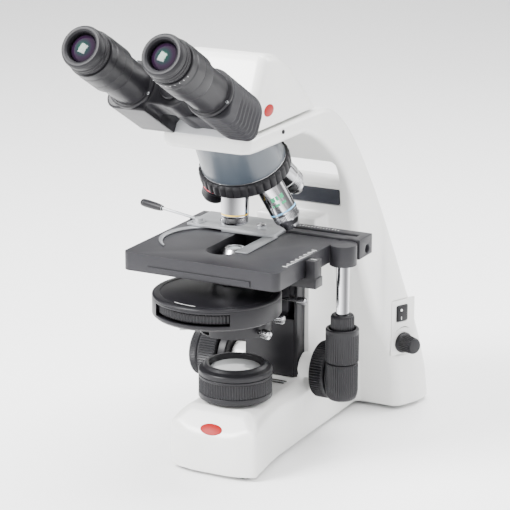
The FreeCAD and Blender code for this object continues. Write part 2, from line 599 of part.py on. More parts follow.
def head_nodes():
    """Head casting, hinge, two prism arms that swing together, and focusable eyepieces."""
    shape = prism("YZ_Plane", [
        (-55, "head_under"), (-50, 330), (-34, 357), (-19, 384), (-14, 386), (8, 381), (28, 371), (45, 356),
        (64, 340), (75, 327), (77, "head_under")], "2*head_half", True)
    shape = rounded(shape, 8, lambda e, m: abs(m.x) > 41 and m.z > 360)
    inside = prism("YZ_Plane", [
        (-45, 328), (-29, 355), (-15, 379), (7, 375), (25, 365), (42, 350), (60, 335), (66, 328)],
        "2*head_half-12", True)
    seat = rod(30.4, 20, (0, 0, "head_under-16"))
    light = rod(20, 40, (0, 0, 310))
    shaft_way = on_tube(rod(7.05, 60), 0, -15)
    node("head_casting", cut(shape, inside, seat, light, shaft_way))
    flange = on_tube(turned([(7.05, 5.4), (36, 5.4), (34, 20), (7.05, 20)]), 0)
    node("pivot_flange", cut(flange, box(120, 60, 60, (-60, -100, 262)), head_copy(shape)))
    node("prism_block", slab(16, 28, 30, -18, 334))
    node("hinge_tube", on_tube(ring(7, 5, -4, 83), 0))
    for side, name in ((1, "right"), (-1, "left")):
        eye_side(side, name)


def head_copy(shape):
    """The head's outer form again, to trim what is mounted on its face."""
    made = doc.addObject("Part::Compound", "outer_form")
    made.Links = [shape]
    return made


def eye_side(side, name):
    """One prism arm with its cap, tube, eyepiece, lens, focusing ring and eyecup."""
    x = side * dim("eye_half_spacing")
    start, end = dim("arm_start"), dim("arm_end")
    split = 51
    low, high = (start, split) if side > 0 else (split + 0.3, end - 4)
    shell = on_tube(turned([
        (0, start), ("prism_radius-1", start), ("prism_radius", start + 1), ("prism_radius", end - 4),
        (0, end - 4)]), x)
    hub = on_tube(rod(15.5, high - low), 0, low)
    web = doc.addObject("Part::Box", "web")
    web.Length, web.Width, web.Height = dim("eye_half_spacing"), 29, high - low
    web.Placement = tube_placement(0, low).multiply(
        FreeCAD.Placement(V(0 if side > 0 else -dim("eye_half_spacing"), -14.5, 0), FreeCAD.Rotation()))
    hollow = on_tube(rod(16, end - start), x, start + 4)
    bore = on_tube(rod(7.06, 100), 0, 10)
    node("prism_arm_" + name, cut(fuse(shell, hub, web), hollow, bore))
    node("eye_tube_" + name, on_tube(turned([
        (15.06, end - 4), ("prism_radius", end - 4), ("prism_radius", end - 1), ("prism_radius-1", end),
        (18.5, end), (18.5, 117), (17.5, 118), (15.06, 118)]), x))
    node("eyepiece_" + name, on_tube(turned([
        (13, 92), (15, 92), (15, 118.3), ("eyepiece_radius+0.8", 118.4), ("eyepiece_radius+1.2", 120),
        ("eyepiece_radius+1.2", 146), ("eyepiece_radius+0.2", 148), ("eyepiece_radius-0.6", 157),
        (14.9, 157), (14.9, 165), (13, 165)]), x))
    node("eye_lens_" + name, on_tube(turned([
        (0, 148), (12.9, 148), (12.9, 157), (10, 159.4), (5, 160.8), (0, 161.2)]), x))
    node("diopter_eyecup_" + name, on_tube(turned([
        (15, 157.4), ("eyepiece_radius-0.4", 157.4), ("eyepiece_radius-0.6", 165), ("eyepiece_radius-1", 165.4),
        ("eyepiece_radius-0.6", 168), ("eyepiece_radius-1.2", 172.5), ("eyepiece_radius-2.4", "eye_face"),
        (15.6, "eye_face"), (13, 168), (13, 165.3), (15, 165.3)]), x))


stand_nodes()
control_nodes()
focus_nodes()
stage_nodes()
condenser_nodes()
nosepiece_nodes()
head_nodes()
doc.recompute()

failed = [o.Name for o in doc.Objects if {"Invalid", "Error"} & set(o.State)]
if failed:
    raise SystemExit("failed objects: %s" % failed)
for piece in NODES:
    if piece.Shape.isNull() or not piece.Shape.isValid():
        raise SystemExit("bad shape: %s" % piece.Label)
whole = FreeCAD.BoundBox()
os.makedirs("parts", exist_ok=True)
for piece in NODES:
    piece.Shape.exportStep("parts/%s.step" % piece.Label)
    whole.add(piece.Shape.BoundBox)
    print("%-24s %8.1f cm3 %2d solids" % (piece.Label, piece.Shape.Volume / 1000, len(piece.Shape.Solids)))
print(len(NODES), "nodes", whole)
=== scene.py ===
"""Looks of a binocular laboratory microscope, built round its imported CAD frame.

Lengths in the helper calls are millimetres from the optical axis (x, y) and the desk (z);
metres() turns them into the row frame.
"""

import json
from math import cos, degrees, pi, radians, sin

import bmesh
import bpy
import numpy as np
from mathutils import Matrix, Vector

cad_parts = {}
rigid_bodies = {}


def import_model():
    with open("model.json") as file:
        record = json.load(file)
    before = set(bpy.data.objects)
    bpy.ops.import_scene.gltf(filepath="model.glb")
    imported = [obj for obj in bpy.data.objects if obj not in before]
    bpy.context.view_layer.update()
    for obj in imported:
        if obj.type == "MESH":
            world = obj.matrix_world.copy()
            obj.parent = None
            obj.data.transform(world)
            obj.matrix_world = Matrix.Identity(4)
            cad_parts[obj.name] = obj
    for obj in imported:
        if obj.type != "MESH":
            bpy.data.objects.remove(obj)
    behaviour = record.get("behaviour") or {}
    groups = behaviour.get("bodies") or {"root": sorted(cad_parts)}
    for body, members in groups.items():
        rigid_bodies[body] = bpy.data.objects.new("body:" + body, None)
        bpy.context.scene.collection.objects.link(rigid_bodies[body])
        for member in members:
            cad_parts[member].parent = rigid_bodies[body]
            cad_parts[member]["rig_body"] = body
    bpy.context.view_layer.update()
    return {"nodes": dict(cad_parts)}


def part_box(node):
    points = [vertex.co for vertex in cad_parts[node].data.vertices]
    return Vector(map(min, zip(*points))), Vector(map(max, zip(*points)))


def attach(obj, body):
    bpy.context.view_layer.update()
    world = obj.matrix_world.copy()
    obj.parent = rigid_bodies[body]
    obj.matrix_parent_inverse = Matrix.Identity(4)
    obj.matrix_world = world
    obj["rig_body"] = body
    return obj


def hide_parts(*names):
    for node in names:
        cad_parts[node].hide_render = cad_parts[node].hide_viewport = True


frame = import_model()
MM = 0.001
RING_LOW, RING_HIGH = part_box("field_ring")
AXIS = (RING_LOW + RING_HIGH) / 2
BASE_TOP = 62
SHAFT_Y, SHAFT_Z = 85, 70
BOSS_RADIUS, SHAFT_RADIUS = 13, 6
COARSE_RADIUS, FINE_RADIUS = 26.9, 24.9
LEFT_REACH = 14
STAGE_TOP = 207


# ------------------------------------------------------------------ places
def metres(x, y, z):
    """A point given from the optical axis and the desk, in the row frame."""
    return Vector((AXIS.x + x * MM, AXIS.y + y * MM, z * MM))


def place(x, y, z, *turns):
    """A frame at a point, turned about its own axes in order: pairs of axis letter and degrees."""
    matrix = Matrix.Translation(metres(x, y, z))
    for axis, angle in turns:
        matrix = matrix @ Matrix.Rotation(radians(angle), 4, axis)
    return matrix


def facing(x, y, z, way):
    """A frame at a point whose +Z looks along a direction."""
    turn = Vector(way).to_track_quat("Z", "Y").to_matrix().to_4x4()
    return Matrix.Translation(metres(x, y, z)) @ turn


def shift(along_x, along_y, along_z):
    """A move in a frame's own directions, in millimetres."""
    return Matrix.Translation((along_x * MM, along_y * MM, along_z * MM))


EYE_X = 37.5
TUBE_LEAN = 60


def on_tube(x, along=0):
    """A viewing tube's frame: +Z towards the eye."""
    return place(x, -44, 330, ("X", TUBE_LEAN)) @ shift(0, 0, along)


NOSE_TILT = 25
PORT_CIRCLE = 27


def on_nose(along=0):
    """The revolving nosepiece's frame: +Z down its axis."""
    return place(0, 24.5, 264.4, ("X", 180 + NOSE_TILT)) @ shift(0, 0, along)


def on_port(spin, along=0):
    """An objective's frame: +Z towards the slide."""
    spun = on_nose() @ Matrix.Rotation(radians(-spin), 4, "Z") @ shift(0, PORT_CIRCLE, 0)
    return spun @ Matrix.Rotation(radians(-NOSE_TILT), 4, "X") @ shift(0, 0, along)


# ------------------------------------------------------------------ materials
def node_of(tree, kind, **values):
    """A shader node with its inputs set by name."""
    made = tree.nodes.new(kind)
    for name, value in values.items():
        made.inputs[name.replace("_", " ")].default_value = value
    return made


def material(name, colour, roughness, **shader):
    """A principled material; further values are set on the shader's own sockets."""
    made = bpy.data.materials.new(name)
    made.use_nodes = True
    bsdf = made.node_tree.nodes["Principled BSDF"]
    bsdf.inputs["Base Color"].default_value = (*colour, 1)
    bsdf.inputs["Roughness"].default_value = roughness
    for key, value in shader.items():
        bsdf.inputs[key.replace("_", " ")].default_value = value
    made.diffuse_color = (*colour, 1)
    return made


def grain(made, size, depth, spread=0.08, tint=0.0, stretch=(1, 1, 1)):
    """Surface texture: a bump of grains of a size in millimetres, uneven gloss and slight mottling."""
    tree = made.node_tree
    bsdf = tree.nodes["Principled BSDF"]
    where = tree.nodes.new("ShaderNodeTexCoord")
    mapping = tree.nodes.new("ShaderNodeMapping")
    mapping.inputs["Scale"].default_value = stretch
    tree.links.new(where.outputs["Object"], mapping.inputs["Vector"])
    fine = node_of(tree, "ShaderNodeTexNoise", Scale=1 / (size * MM), Detail=3.0, Roughness=0.55)
    tree.links.new(mapping.outputs["Vector"], fine.inputs["Vector"])
    bump = node_of(tree, "ShaderNodeBump", Strength=0.6, Distance=depth * MM)
    tree.links.new(fine.outputs["Fac"], bump.inputs["Height"])
    tree.links.new(bump.outputs["Normal"], bsdf.inputs["Normal"])
    broad = node_of(tree, "ShaderNodeTexNoise", Scale=28.0, Detail=2.0)
    tree.links.new(where.outputs["Object"], broad.inputs["Vector"])
    gloss = tree.nodes.new("ShaderNodeMapRange")
    base = bsdf.inputs["Roughness"].default_value
    gloss.inputs["To Min"].default_value = max(0.02, base - spread)
    gloss.inputs["To Max"].default_value = min(1, base + spread)
    tree.links.new(broad.outputs["Fac"], gloss.inputs["Value"])
    tree.links.new(gloss.outputs["Result"], bsdf.inputs["Roughness"])
    if tint:
        colour = bsdf.inputs["Base Color"].default_value[:3]
        ramp = tree.nodes.new("ShaderNodeValToRGB")
        ramp.color_ramp.elements[0].position = 0.3
        ramp.color_ramp.elements[1].position = 0.7
        ramp.color_ramp.elements[0].color = (*[c * (1 - tint) for c in colour], 1)
        ramp.color_ramp.elements[1].color = (*[min(1, c * (1 + tint)) for c in colour], 1)
        tree.links.new(broad.outputs["Fac"], ramp.inputs["Fac"])
        tree.links.new(ramp.outputs["Color"], bsdf.inputs["Base Color"])
    return made


def turned_metal_painted_reflection(name, colour, roughness):
    """Plated metal off a lathe: fine rings round the piece's own axis, with painted reflection: bright and
    dark streaks along it, set in the base colour by the angle round the axis.
    """
    made = grain(material(name, colour, roughness, Metallic=1.0), 1.6, 0.004, 0.04, stretch=(0.15, 0.15, 9))
    tree = made.node_tree
    # Painted reflection: the base colour darkens and brightens in three bands by the angle round the axis.
    where = tree.nodes.new("ShaderNodeTexCoord")
    split = tree.nodes.new("ShaderNodeSeparateXYZ")
    tree.links.new(where.outputs["Object"], split.inputs["Vector"])
    previous = None
    for kind, value in (("ARCTAN2", 0), ("MULTIPLY", 3), ("ADD", 0.6), ("SINE", 0)):
        step = tree.nodes.new("ShaderNodeMath")
        step.operation = kind
        step.inputs[1].default_value = value
        if previous is None:
            tree.links.new(split.outputs["Y"], step.inputs[0])
            tree.links.new(split.outputs["X"], step.inputs[1])
        else:
            tree.links.new(previous.outputs["Value"], step.inputs[0])
        previous = step
    share = node_of(tree, "ShaderNodeMapRange", From_Min=-1.0)
    tree.links.new(previous.outputs["Value"], share.inputs["Value"])
    ramp = tree.nodes.new("ShaderNodeValToRGB")
    tree.links.new(share.outputs["Result"], ramp.inputs["Fac"])
    stops = ramp.color_ramp.elements
    stops[0].color = (*[c * 0.22 for c in colour], 1)
    stops[1].color = (*[min(1, c * 1.7) for c in colour], 1)
    stops.new(0.45).color = (*[c * 0.75 for c in colour], 1)
    tree.links.new(ramp.outputs["Color"], tree.nodes["Principled BSDF"].inputs["Base Color"])
    return made


def lens_with_painted_reflection(name, dark, rings, reach):
    """A lens with painted shade and reflection: a dark base for the tube seen through it, and the coloured
    glint of its coating painted in rings out to a radius in millimetres.
    """
    made = material(name, dark, 0.05, Specular_IOR_Level=0.22)
    tree = made.node_tree
    where = tree.nodes.new("ShaderNodeTexCoord")
    flat = tree.nodes.new("ShaderNodeVectorMath")
    flat.operation = "MULTIPLY"
    flat.inputs[1].default_value = (1, 1, 0)
    tree.links.new(where.outputs["Object"], flat.inputs[0])
    size = tree.nodes.new("ShaderNodeVectorMath")
    size.operation = "LENGTH"
    tree.links.new(flat.outputs["Vector"], size.inputs[0])
    spread = tree.nodes.new("ShaderNodeMapRange")
    spread.inputs["From Max"].default_value = reach * MM
    tree.links.new(size.outputs["Value"], spread.inputs["Value"])
    # Painted reflection: colour rings by distance from the lens axis.
    ramp = tree.nodes.new("ShaderNodeValToRGB")
    tree.links.new(spread.outputs["Result"], ramp.inputs["Fac"])
    stops = ramp.color_ramp.elements
    stops[0].color = (*rings[0], 1)
    stops[1].color = (*dark, 1)
    for i, colour in enumerate(rings[1:], start=1):
        stops.new(i / len(rings)).color = (*colour, 1)
    tree.links.new(ramp.outputs["Color"], tree.nodes["Principled BSDF"].inputs["Base Color"])
    return made


LOOKS = {
    "white_paint": grain(material("white_enamel", (0.70, 0.70, 0.685), 0.33, Coat_Weight=0.35,
                                  Coat_Roughness=0.18), 1.1, 0.03, 0.05, 0.012),
    "black_paint": grain(material("black_satin_paint", (0.008, 0.0076, 0.0095), 0.38,
                                  Specular_IOR_Level=0.25),
                         0.5, 0.03, 0.06, 0.12),
    "stage_paint": grain(material("stage_ceramic_coat", (0.014, 0.0136, 0.0165), 0.46,
                                  Specular_IOR_Level=0.3),
                         0.35, 0.03, 0.07, 0.08),
    "black_plastic": grain(material("moulded_black", (0.009, 0.0087, 0.0105), 0.42, Specular_IOR_Level=0.25),
                           0.4, 0.035, 0.06, 0.12),
    "grey_plastic": grain(material("moulded_grey", (0.50, 0.51, 0.53), 0.42), 0.5, 0.02, 0.05, 0.03),
    "rubber": grain(material("rubber_grip", (0.012, 0.0116, 0.0145), 0.58, Specular_IOR_Level=0.28), 0.6,
                    0.06,
                    0.06, 0.15),
    "soft_black": grain(material("eyecup_rubber", (0.007, 0.0067, 0.0085), 0.48, Specular_IOR_Level=0.25),
                        0.5,
                        0.04, 0.06, 0.12),
    # Chrome and satin chrome carry painted reflection bands in their colour.
    "chrome": turned_metal_painted_reflection("bright_chrome", (0.40, 0.40, 0.415), 0.16),
    "barrel": turned_metal_painted_reflection("satin_chrome", (0.34, 0.34, 0.35), 0.26),
    "steel": grain(material("ground_steel", (0.36, 0.37, 0.38), 0.32, Metallic=1.0), 0.8, 0.02, 0.06, 0.05,
                   stretch=(1, 8, 1)),
    "aluminium": grain(material("bead_blasted_alloy", (0.36, 0.37, 0.385), 0.44, Metallic=0.85), 0.35, 0.03,
                       0.05, 0.05),
    "collar": grain(material("blue_grey_enamel", (0.036, 0.047, 0.061), 0.34, Coat_Weight=0.3,
                             Coat_Roughness=0.2), 0.9, 0.03, 0.05, 0.03),
    "slate": grain(material("slate_panel", (0.018, 0.020, 0.028), 0.45), 0.5, 0.03, 0.05, 0.08),
    "red": grain(material("red_badge", (0.27, 0.0, 0.0), 0.45, Specular_IOR_Level=0.2), 1.0, 0.01, 0.04,
                 0.05),
    "ink_white": grain(material("printed_white", (0.72, 0.72, 0.72), 0.6), 0.4, 0.01, 0.05, 0.05),
    "ink_black": grain(material("printed_black", (0.03, 0.03, 0.03), 0.6), 0.4, 0.01, 0.05, 0.05),
    "yellow": grain(material("yellow_ring", (0.80, 0.52, 0.04), 0.4), 0.4, 0.01, 0.05, 0.05),
    "blue": grain(material("blue_ring", (0.18, 0.50, 0.80), 0.4), 0.4, 0.01, 0.05, 0.05),
    "green": grain(material("green_ink", (0.02, 0.36, 0.16), 0.5), 0.4, 0.01, 0.05, 0.05),
    "red_ring": grain(material("red_ring", (0.75, 0.03, 0.06), 0.4), 0.4, 0.01, 0.05, 0.05),
    "board": grain(material("circuit_board", (0.02, 0.16, 0.06), 0.5), 2.0, 0.05, 0.08, 0.2),
    # Lenses: painted reflection rings on a dark base that stands for the shade seen through the glass.
    "eye_lens": lens_with_painted_reflection("coated_eye_lens", (0.004, 0.004, 0.006),
                             [(0.012, 0.085, 0.035), (0.004, 0.020, 0.018), (0.014, 0.005, 0.017)], 13),
    "lens": lens_with_painted_reflection("condensing_lens", (0.14, 0.15, 0.16), [(0.32, 0.35, 0.36), (0.26, 0.28, 0.29)], 21),
    "frosted": grain(material("frosted_filter", (0.42, 0.43, 0.43), 0.18, Coat_Weight=0.8), 0.6, 0.01, 0.05,
                     0.04),
    "floor": grain(material("pale_floor", (0.93, 0.93, 0.93), 0.7), 3.0, 0.01, 0.03),
}


# ------------------------------------------------------------------ mesh helpers
def finish_piece(obj, look, body, nodes=()):
    """Give a piece its material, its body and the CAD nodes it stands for."""
    obj.data.materials.clear()
    obj.data.materials.append(LOOKS[look])
    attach(obj, body)
    if nodes:
        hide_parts(*nodes)
    return obj


def add_object(name, mesh, matrix=None, crease=35):
    """Link a mesh as a smooth-shaded object whose edges sharper than the crease stay sharp."""
    mesh.shade_smooth()
    mesh.set_sharp_from_angle(angle=radians(crease))
    obj = bpy.data.objects.new(name, mesh)
    bpy.context.scene.collection.objects.link(obj)
    if matrix is not None:
        obj.matrix_world = matrix
    return obj


def mesh_from(name, points, faces):
    """A mesh from points in millimetres and faces as index lists."""
    mesh = bpy.data.meshes.new(name)
    mesh.from_pydata((np.asarray(points, float) * MM).tolist(), [], [list(f) for f in faces])
    mesh.validate()
    return mesh


def rounded_edges(mesh, width, segments=2, angle=30):
    """The mesh again with its sharp edges bevelled."""
    holder = bpy.data.objects.new("holder", mesh)
    bpy.context.scene.collection.objects.link(holder)
    bevel = holder.modifiers.new("edges", "BEVEL")
    bevel.width = width * MM
    bevel.segments = segments
    bevel.limit_method = "ANGLE"
    bevel.angle_limit = radians(angle)
    bevel.use_clamp_overlap = True
    depsgraph = bpy.context.evaluated_depsgraph_get()
    made = bpy.data.meshes.new_from_object(holder.evaluated_get(depsgraph))
    bpy.data.objects.remove(holder)
    return made


def soften(profile, radius, loop):
    """A profile with each corner replaced by a short arc; points are (r, z) or (r, z, ribbed)."""
    points = [tuple(p) + (0,) * (3 - len(p)) for p in profile]
    count = len(points)
    made = []
    for i, (r, z, ribbed) in enumerate(points):
        ends = not loop and i in (0, count - 1)
        if ends or radius <= 0:
            made.append((r, z, ribbed))
            continue
        here = np.array((r, z))
        before = np.array(points[i - 1][:2]) - here
        after = np.array(points[(i + 1) % count][:2]) - here
        reach_a, reach_b = np.hypot(*before), np.hypot(*after)
        straight = before @ after / (reach_a * reach_b) < -0.985
        if straight:
            made.append((r, z, ribbed))
            continue
        size = min(radius, 0.42 * reach_a, 0.42 * reach_b)
        start, stop = here + before / reach_a * size, here + after / reach_b * size
        for share in (0, 0.33, 0.67, 1):
            spot = (1 - share) ** 2 * start + 2 * share * (1 - share) * here + share ** 2 * stop
            made.append((float(spot[0]), float(spot[1]), ribbed))
    return made


def lathe_mesh(name, profile, steps=96, soft=0.4, ribs=0, depth=0.0, sharp=1.0, phase=0.0):
    """A turned form. Ribbed profile points follow a wave of that many ribs round the piece."""
    loop = profile[0][0] > 0 or profile[-1][0] > 0
    line = np.array(soften(profile, soft, loop))
    if ribs:
        steps = ribs * 6
    turn = np.arange(steps) * 2 * pi / steps
    wave = (0.5 + 0.5 * np.cos(ribs * turn + phase)) ** sharp if ribs else np.zeros(steps)
    radius = line[None, :, 0] - depth * wave[:, None] * line[None, :, 2]
    points = np.stack([radius * np.cos(turn)[:, None], radius * np.sin(turn)[:, None],
                       np.repeat(line[None, :, 1], steps, 0)], axis=2).reshape(-1, 3)
    count = len(line)
    faces = []
    for i in range(steps):
        this, following = i * count, (i + 1) % steps * count
        for j in range(count if loop else count - 1):
            k = (j + 1) % count
            faces.append((this + j, following + j, following + k, this + k))
    mesh = mesh_from(name, points, faces)
    bm = bmesh.new()
    bm.from_mesh(mesh)
    bmesh.ops.remove_doubles(bm, verts=bm.verts, dist=0.002 * MM)
    bmesh.ops.dissolve_degenerate(bm, edges=bm.edges, dist=0.001 * MM)
    bmesh.ops.recalc_face_normals(bm, faces=bm.faces)
    bm.to_mesh(mesh)
    bm.free()
    return mesh


def lathe(name, profile, matrix, look, body, nodes=(), slot=None, **shape):
    """A turned piece in place."""
    obj = add_object(name, lathe_mesh(name, profile, **shape), matrix)
    return finish_piece(obj, look, body, nodes)


def plates_mesh(name, outlines, low, high):
    """Flat plates between two heights, one for each outline of (x, y) points, anticlockwise."""
    points, faces = [], []
    for outline in outlines:
        first, count = len(points), len(outline)
        points += [(x, y, low) for x, y in outline] + [(x, y, high) for x, y in outline]
        faces.append([first + i for i in reversed(range(count))])
        faces.append([first + count + i for i in range(count)])
        for i in range(count):
            k = (i + 1) % count
            faces.append((first + i, first + k, first + count + k, first + count + i))
    return mesh_from(name, points, faces)


def plates(name, outlines, low, high, matrix, look, body, bevel=0.2, nodes=()):
    """Flat plates with softened edges, in place."""
    mesh = rounded_edges(plates_mesh(name, outlines, low, high), bevel)
    return finish_piece(add_object(name, mesh, matrix), look, body, nodes)


def oblong(x0, x1, y0, y1, radius=0.0, steps=5):
    """A rectangle's outline with rounded corners."""
    if radius <= 0:
        return [(x0, y0), (x1, y0), (x1, y1), (x0, y1)]
    corners = [(x1 - radius, y0 + radius, -90), (x1 - radius, y1 - radius, 0),
               (x0 + radius, y1 - radius, 90), (x0 + radius, y0 + radius, 180)]
    turns = [(x, y, radians(start + 90 * i / steps)) for x, y, start in corners for i in range(steps + 1)]
    return [(x + radius * cos(turn), y + radius * sin(turn)) for x, y, turn in turns]


def oval(half_x, half_y, steps=48, x=0.0, y=0.0):
    """An ellipse's outline."""
    turns = [2 * pi * i / steps for i in range(steps)]
    return [(x + half_x * cos(turn), y + half_y * sin(turn)) for turn in turns]


def refine(node, look, bevel=0.5, name=None, segments=2):
    """The CAD piece's own form with its edges broken, in place of the plain node."""
    source = frame["nodes"][node]
    mesh = source.data.copy()
    bm = bmesh.new()
    bm.from_mesh(mesh)
    bmesh.ops.remove_doubles(bm, verts=bm.verts, dist=0.001 * MM)
    bmesh.ops.dissolve_limit(bm, angle_limit=radians(0.4), verts=bm.verts, edges=bm.edges)
    bm.to_mesh(mesh)
    bm.free()
    mesh = rounded_edges(mesh, bevel, segments)
    obj = add_object(name or node + "_finished", mesh)
    return finish_piece(obj, look, source["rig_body"], (node,))


def keep(node, look):
    """A CAD node that stays as it is, with a finished material."""
    mesh = frame["nodes"][node].data
    mesh.materials.clear()
    mesh.materials.append(LOOKS[look])


# ------------------------------------------------------------------ sculpted castings
def smooth_path(points, steps=6):
    """Points along a smooth open curve through the given ones."""
    line = [np.array(p, float) for p in points]
    line = [2 * line[0] - line[1]] + line + [2 * line[-1] - line[-2]]
    made = []
    for a, b, c, d in zip(line, line[1:], line[2:], line[3:]):
        for i in range(steps):
            t = i / steps
            spot = 0.5 * (2 * b + (c - a) * t + (2 * a - 5 * b + 4 * c - d) * t * t
                          + (3 * b - a - 3 * c + d) * t ** 3)
            made.append(tuple(spot))
    return made + [tuple(line[-2])]


def outline_distance(u, v, outline):
    """Signed distance from points (u, v) to a closed outline, negative inside."""
    best = np.full(u.shape, 1e9)
    inside = np.zeros(u.shape, bool)
    for (au, av), (bu, bv) in zip(outline, outline[1:] + outline[:1]):
        eu, ev = bu - au, bv - av
        wu, wv = u - au, v - av
        t = np.clip((wu * eu + wv * ev) / (eu * eu + ev * ev), 0, 1)
        best = np.minimum(best, (wu - t * eu) ** 2 + (wv - t * ev) ** 2)
        if ev:
            crosses = (av > v) != (bv > v)
            inside ^= crosses & (u < au + (v - av) * eu / ev)
    best = np.sqrt(best)
    return np.where(inside, -best, best)


def box_distance(x, y, z, low, high, radius=0.0):
    """Signed distance to a box with rounded edges."""
    parts = [np.abs(p - (a + b) / 2) - (b - a) / 2 + radius for p, a, b in zip((x, y, z), low, high)]
    outer = np.sqrt(sum(np.maximum(q, 0) ** 2 for q in parts))
    return outer + np.minimum(np.maximum(np.maximum(parts[0], parts[1]), parts[2]), 0) - radius


def meet(a, b, radius):
    """Common part of two forms with the edge rounded."""
    u, v = np.maximum(a + radius, 0), np.maximum(b + radius, 0)
    return np.minimum(np.maximum(a, b), -radius) + np.sqrt(u * u + v * v)


def join(a, b, radius):
    """Two forms together with a fillet between them."""
    u, v = np.maximum(radius - a, 0), np.maximum(radius - b, 0)
    return np.maximum(np.minimum(a, b), radius) - np.sqrt(u * u + v * v)


def carve(a, b, radius):
    """A form with another cut out of it."""
    return meet(a, -b, radius)


def sculpt(name, low, high, cell, form, look, body, nodes, matrix=None, crease=50):
    """A solid from a signed distance, meshed as quads whose corners lie on the surface."""
    axes = [np.arange(a - 2 * cell, b + 3 * cell, cell) for a, b in zip(low, high)]
    values = form(axes[0][:, None, None], axes[1][None, :, None], axes[2][None, None, :])
    values = np.broadcast_to(values, [len(a) for a in axes])
    solid = values < 0
    total = np.zeros([n - 1 for n in solid.shape] + [3])
    hits = np.zeros(total.shape[:3], int)
    corners = [(i, j, k) for i in (0, 1) for j in (0, 1) for k in (0, 1)]
    cut = [slice(None, -1), slice(1, None)]
    for a in corners:
        for axis in range(3):
            if a[axis]:
                continue
            b = tuple(1 if n == axis else a[n] for n in range(3))
            va, vb = values[tuple(cut[n] for n in a)], values[tuple(cut[n] for n in b)]
            crossed = (va < 0) != (vb < 0)
            share = np.where(crossed, va / np.where(crossed, va - vb, 1), 0)
            for n in range(3):
                total[..., n] += np.where(crossed, a[n] + (share if n == axis else 0), 0)
            hits += crossed
    cells = np.argwhere(hits > 0)
    spots = cells + total[hits > 0] / hits[hits > 0][:, None]
    points = np.stack([axes[n][0] + spots[:, n] * cell for n in range(3)], axis=1)
    number = np.full(hits.shape, -1)
    number[tuple(cells.T)] = np.arange(len(cells))
    faces = []
    for axis in range(3):
        other = [n for n in range(3) if n != axis]
        first = [slice(None)] * 3
        second = [slice(None)] * 3
        first[axis], second[axis] = slice(None, -1), slice(1, None)
        for n in other:
            first[n] = second[n] = slice(1, -1)
        changed = np.argwhere(solid[tuple(first)] != solid[tuple(second)])
        for n in other:
            changed[:, n] += 1
        inwards = solid[tuple(changed.T)]
        quad = []
        for da, db in ((-1, -1), (0, -1), (0, 0), (-1, 0)):
            spot = changed.copy()
            spot[:, other[0]] += da
            spot[:, other[1]] += db
            quad.append(number[tuple(spot.T)])
        quad = np.stack(quad, axis=1)
        flip = inwards if axis != 1 else ~inwards
        quad[~flip] = quad[~flip][:, ::-1]
        faces.append(quad)
    step = 0.02
    for _ in range(3):
        here = form(*points.T)
        slope = np.stack([(form(*(points + step * np.eye(3)[n]).T) - here) / step for n in range(3)], axis=1)
        size = np.maximum((slope ** 2).sum(1), 0.2)
        points = points - np.clip(here / size, -cell, cell)[:, None] * slope
    mesh = mesh_from(name, points, np.concatenate(faces).tolist())
    return finish_piece(add_object(name, mesh, matrix or Matrix.Translation(metres(0, 0, 0)), crease),
                        look, body, nodes)


OUTER_BACK = [(236, 13), (218, 70), (200, 121), (185, 170), (174, 207), (165, 237), (155, 263), (142, 286),
              (124, 305), (104, 316), (88, 320.4)]
UNDERSIDE = [(46, 304), (64, 297), (81, 287), (99, 272), (112, 255), (119, 236), (123, 211), (136, 160),
             (160, 100), (178, 62), (184, 34)]
TOWER_SIDE = smooth_path(OUTER_BACK) + [(80, 321), (-57, 321), (-57, 304)] + smooth_path(UNDERSIDE) \
    + [(186, -8), (240, -8)]
TOWER_FLANK = smooth_path([(94.5, 20), (94, 40), (91, 75), (86, 115), (68, 207), (58, 250), (50, 290),
                           (46, 321)])
TOWER_FRONT = TOWER_FLANK + [(-x, z) for x, z in reversed(TOWER_FLANK)] + [(-95, -8), (95, -8)]
PLAN_FLANK = smooth_path([(46, -38), (47, 0), (51, 55), (58, 110), (68, 160), (75.5, 174), (91, 208.5),
                          (95, 226)])
TOWER_PLAN = [(36, -57.4), (44, -51)] + PLAN_FLANK + [(92, 240), (-92, 240)] \
    + [(-x, y) for x, y in reversed(PLAN_FLANK)] + [(-44, -51), (-36, -57.4)]
COLUMN_SIDE = [(101, BASE_TOP - 2), (182, BASE_TOP - 2), (166, 100), (142, 160), (127, 210), (101, 210)]
ARCH_RECESS = [(72, 299), (90, 289), (104, 278), (110, 270), (140, 270), (132, 284), (118, 298), (98, 309),
               (72, 313)]
BASE_FLANK = smooth_path([(45.3, -45), (38.6, 0), (37, 60), (37, 190)])
BASE_NOSE = smooth_path([(-45.3, -45), (-24, -52.4), (0, -53.6), (24, -52.4), (45.3, -45)])
BASE_PLAN = BASE_NOSE[:-1] + BASE_FLANK + [(-x, y) for x, y in reversed(BASE_FLANK)][:-1]
BASE_SIDE = [(-54, -8), (190, -8), (190, BASE_TOP), (-30, BASE_TOP), (-54, 37)]
BASE_END = [(-46, -8), (46, -8), (46, 46), (29, BASE_TOP), (-29, BASE_TOP), (-46, 46)]
PANEL_TURN = radians(-24.2)
PANEL_MIDDLE = (83.2, 191.2, 86)


def panel_directions(x, y):
    """How far a point lies out of the control panel and along it."""
    dx, dy = x - PANEL_MIDDLE[0], y - PANEL_MIDDLE[1]
    return dx * cos(PANEL_TURN) + dy * sin(PANEL_TURN), dy * cos(PANEL_TURN) - dx * sin(PANEL_TURN)


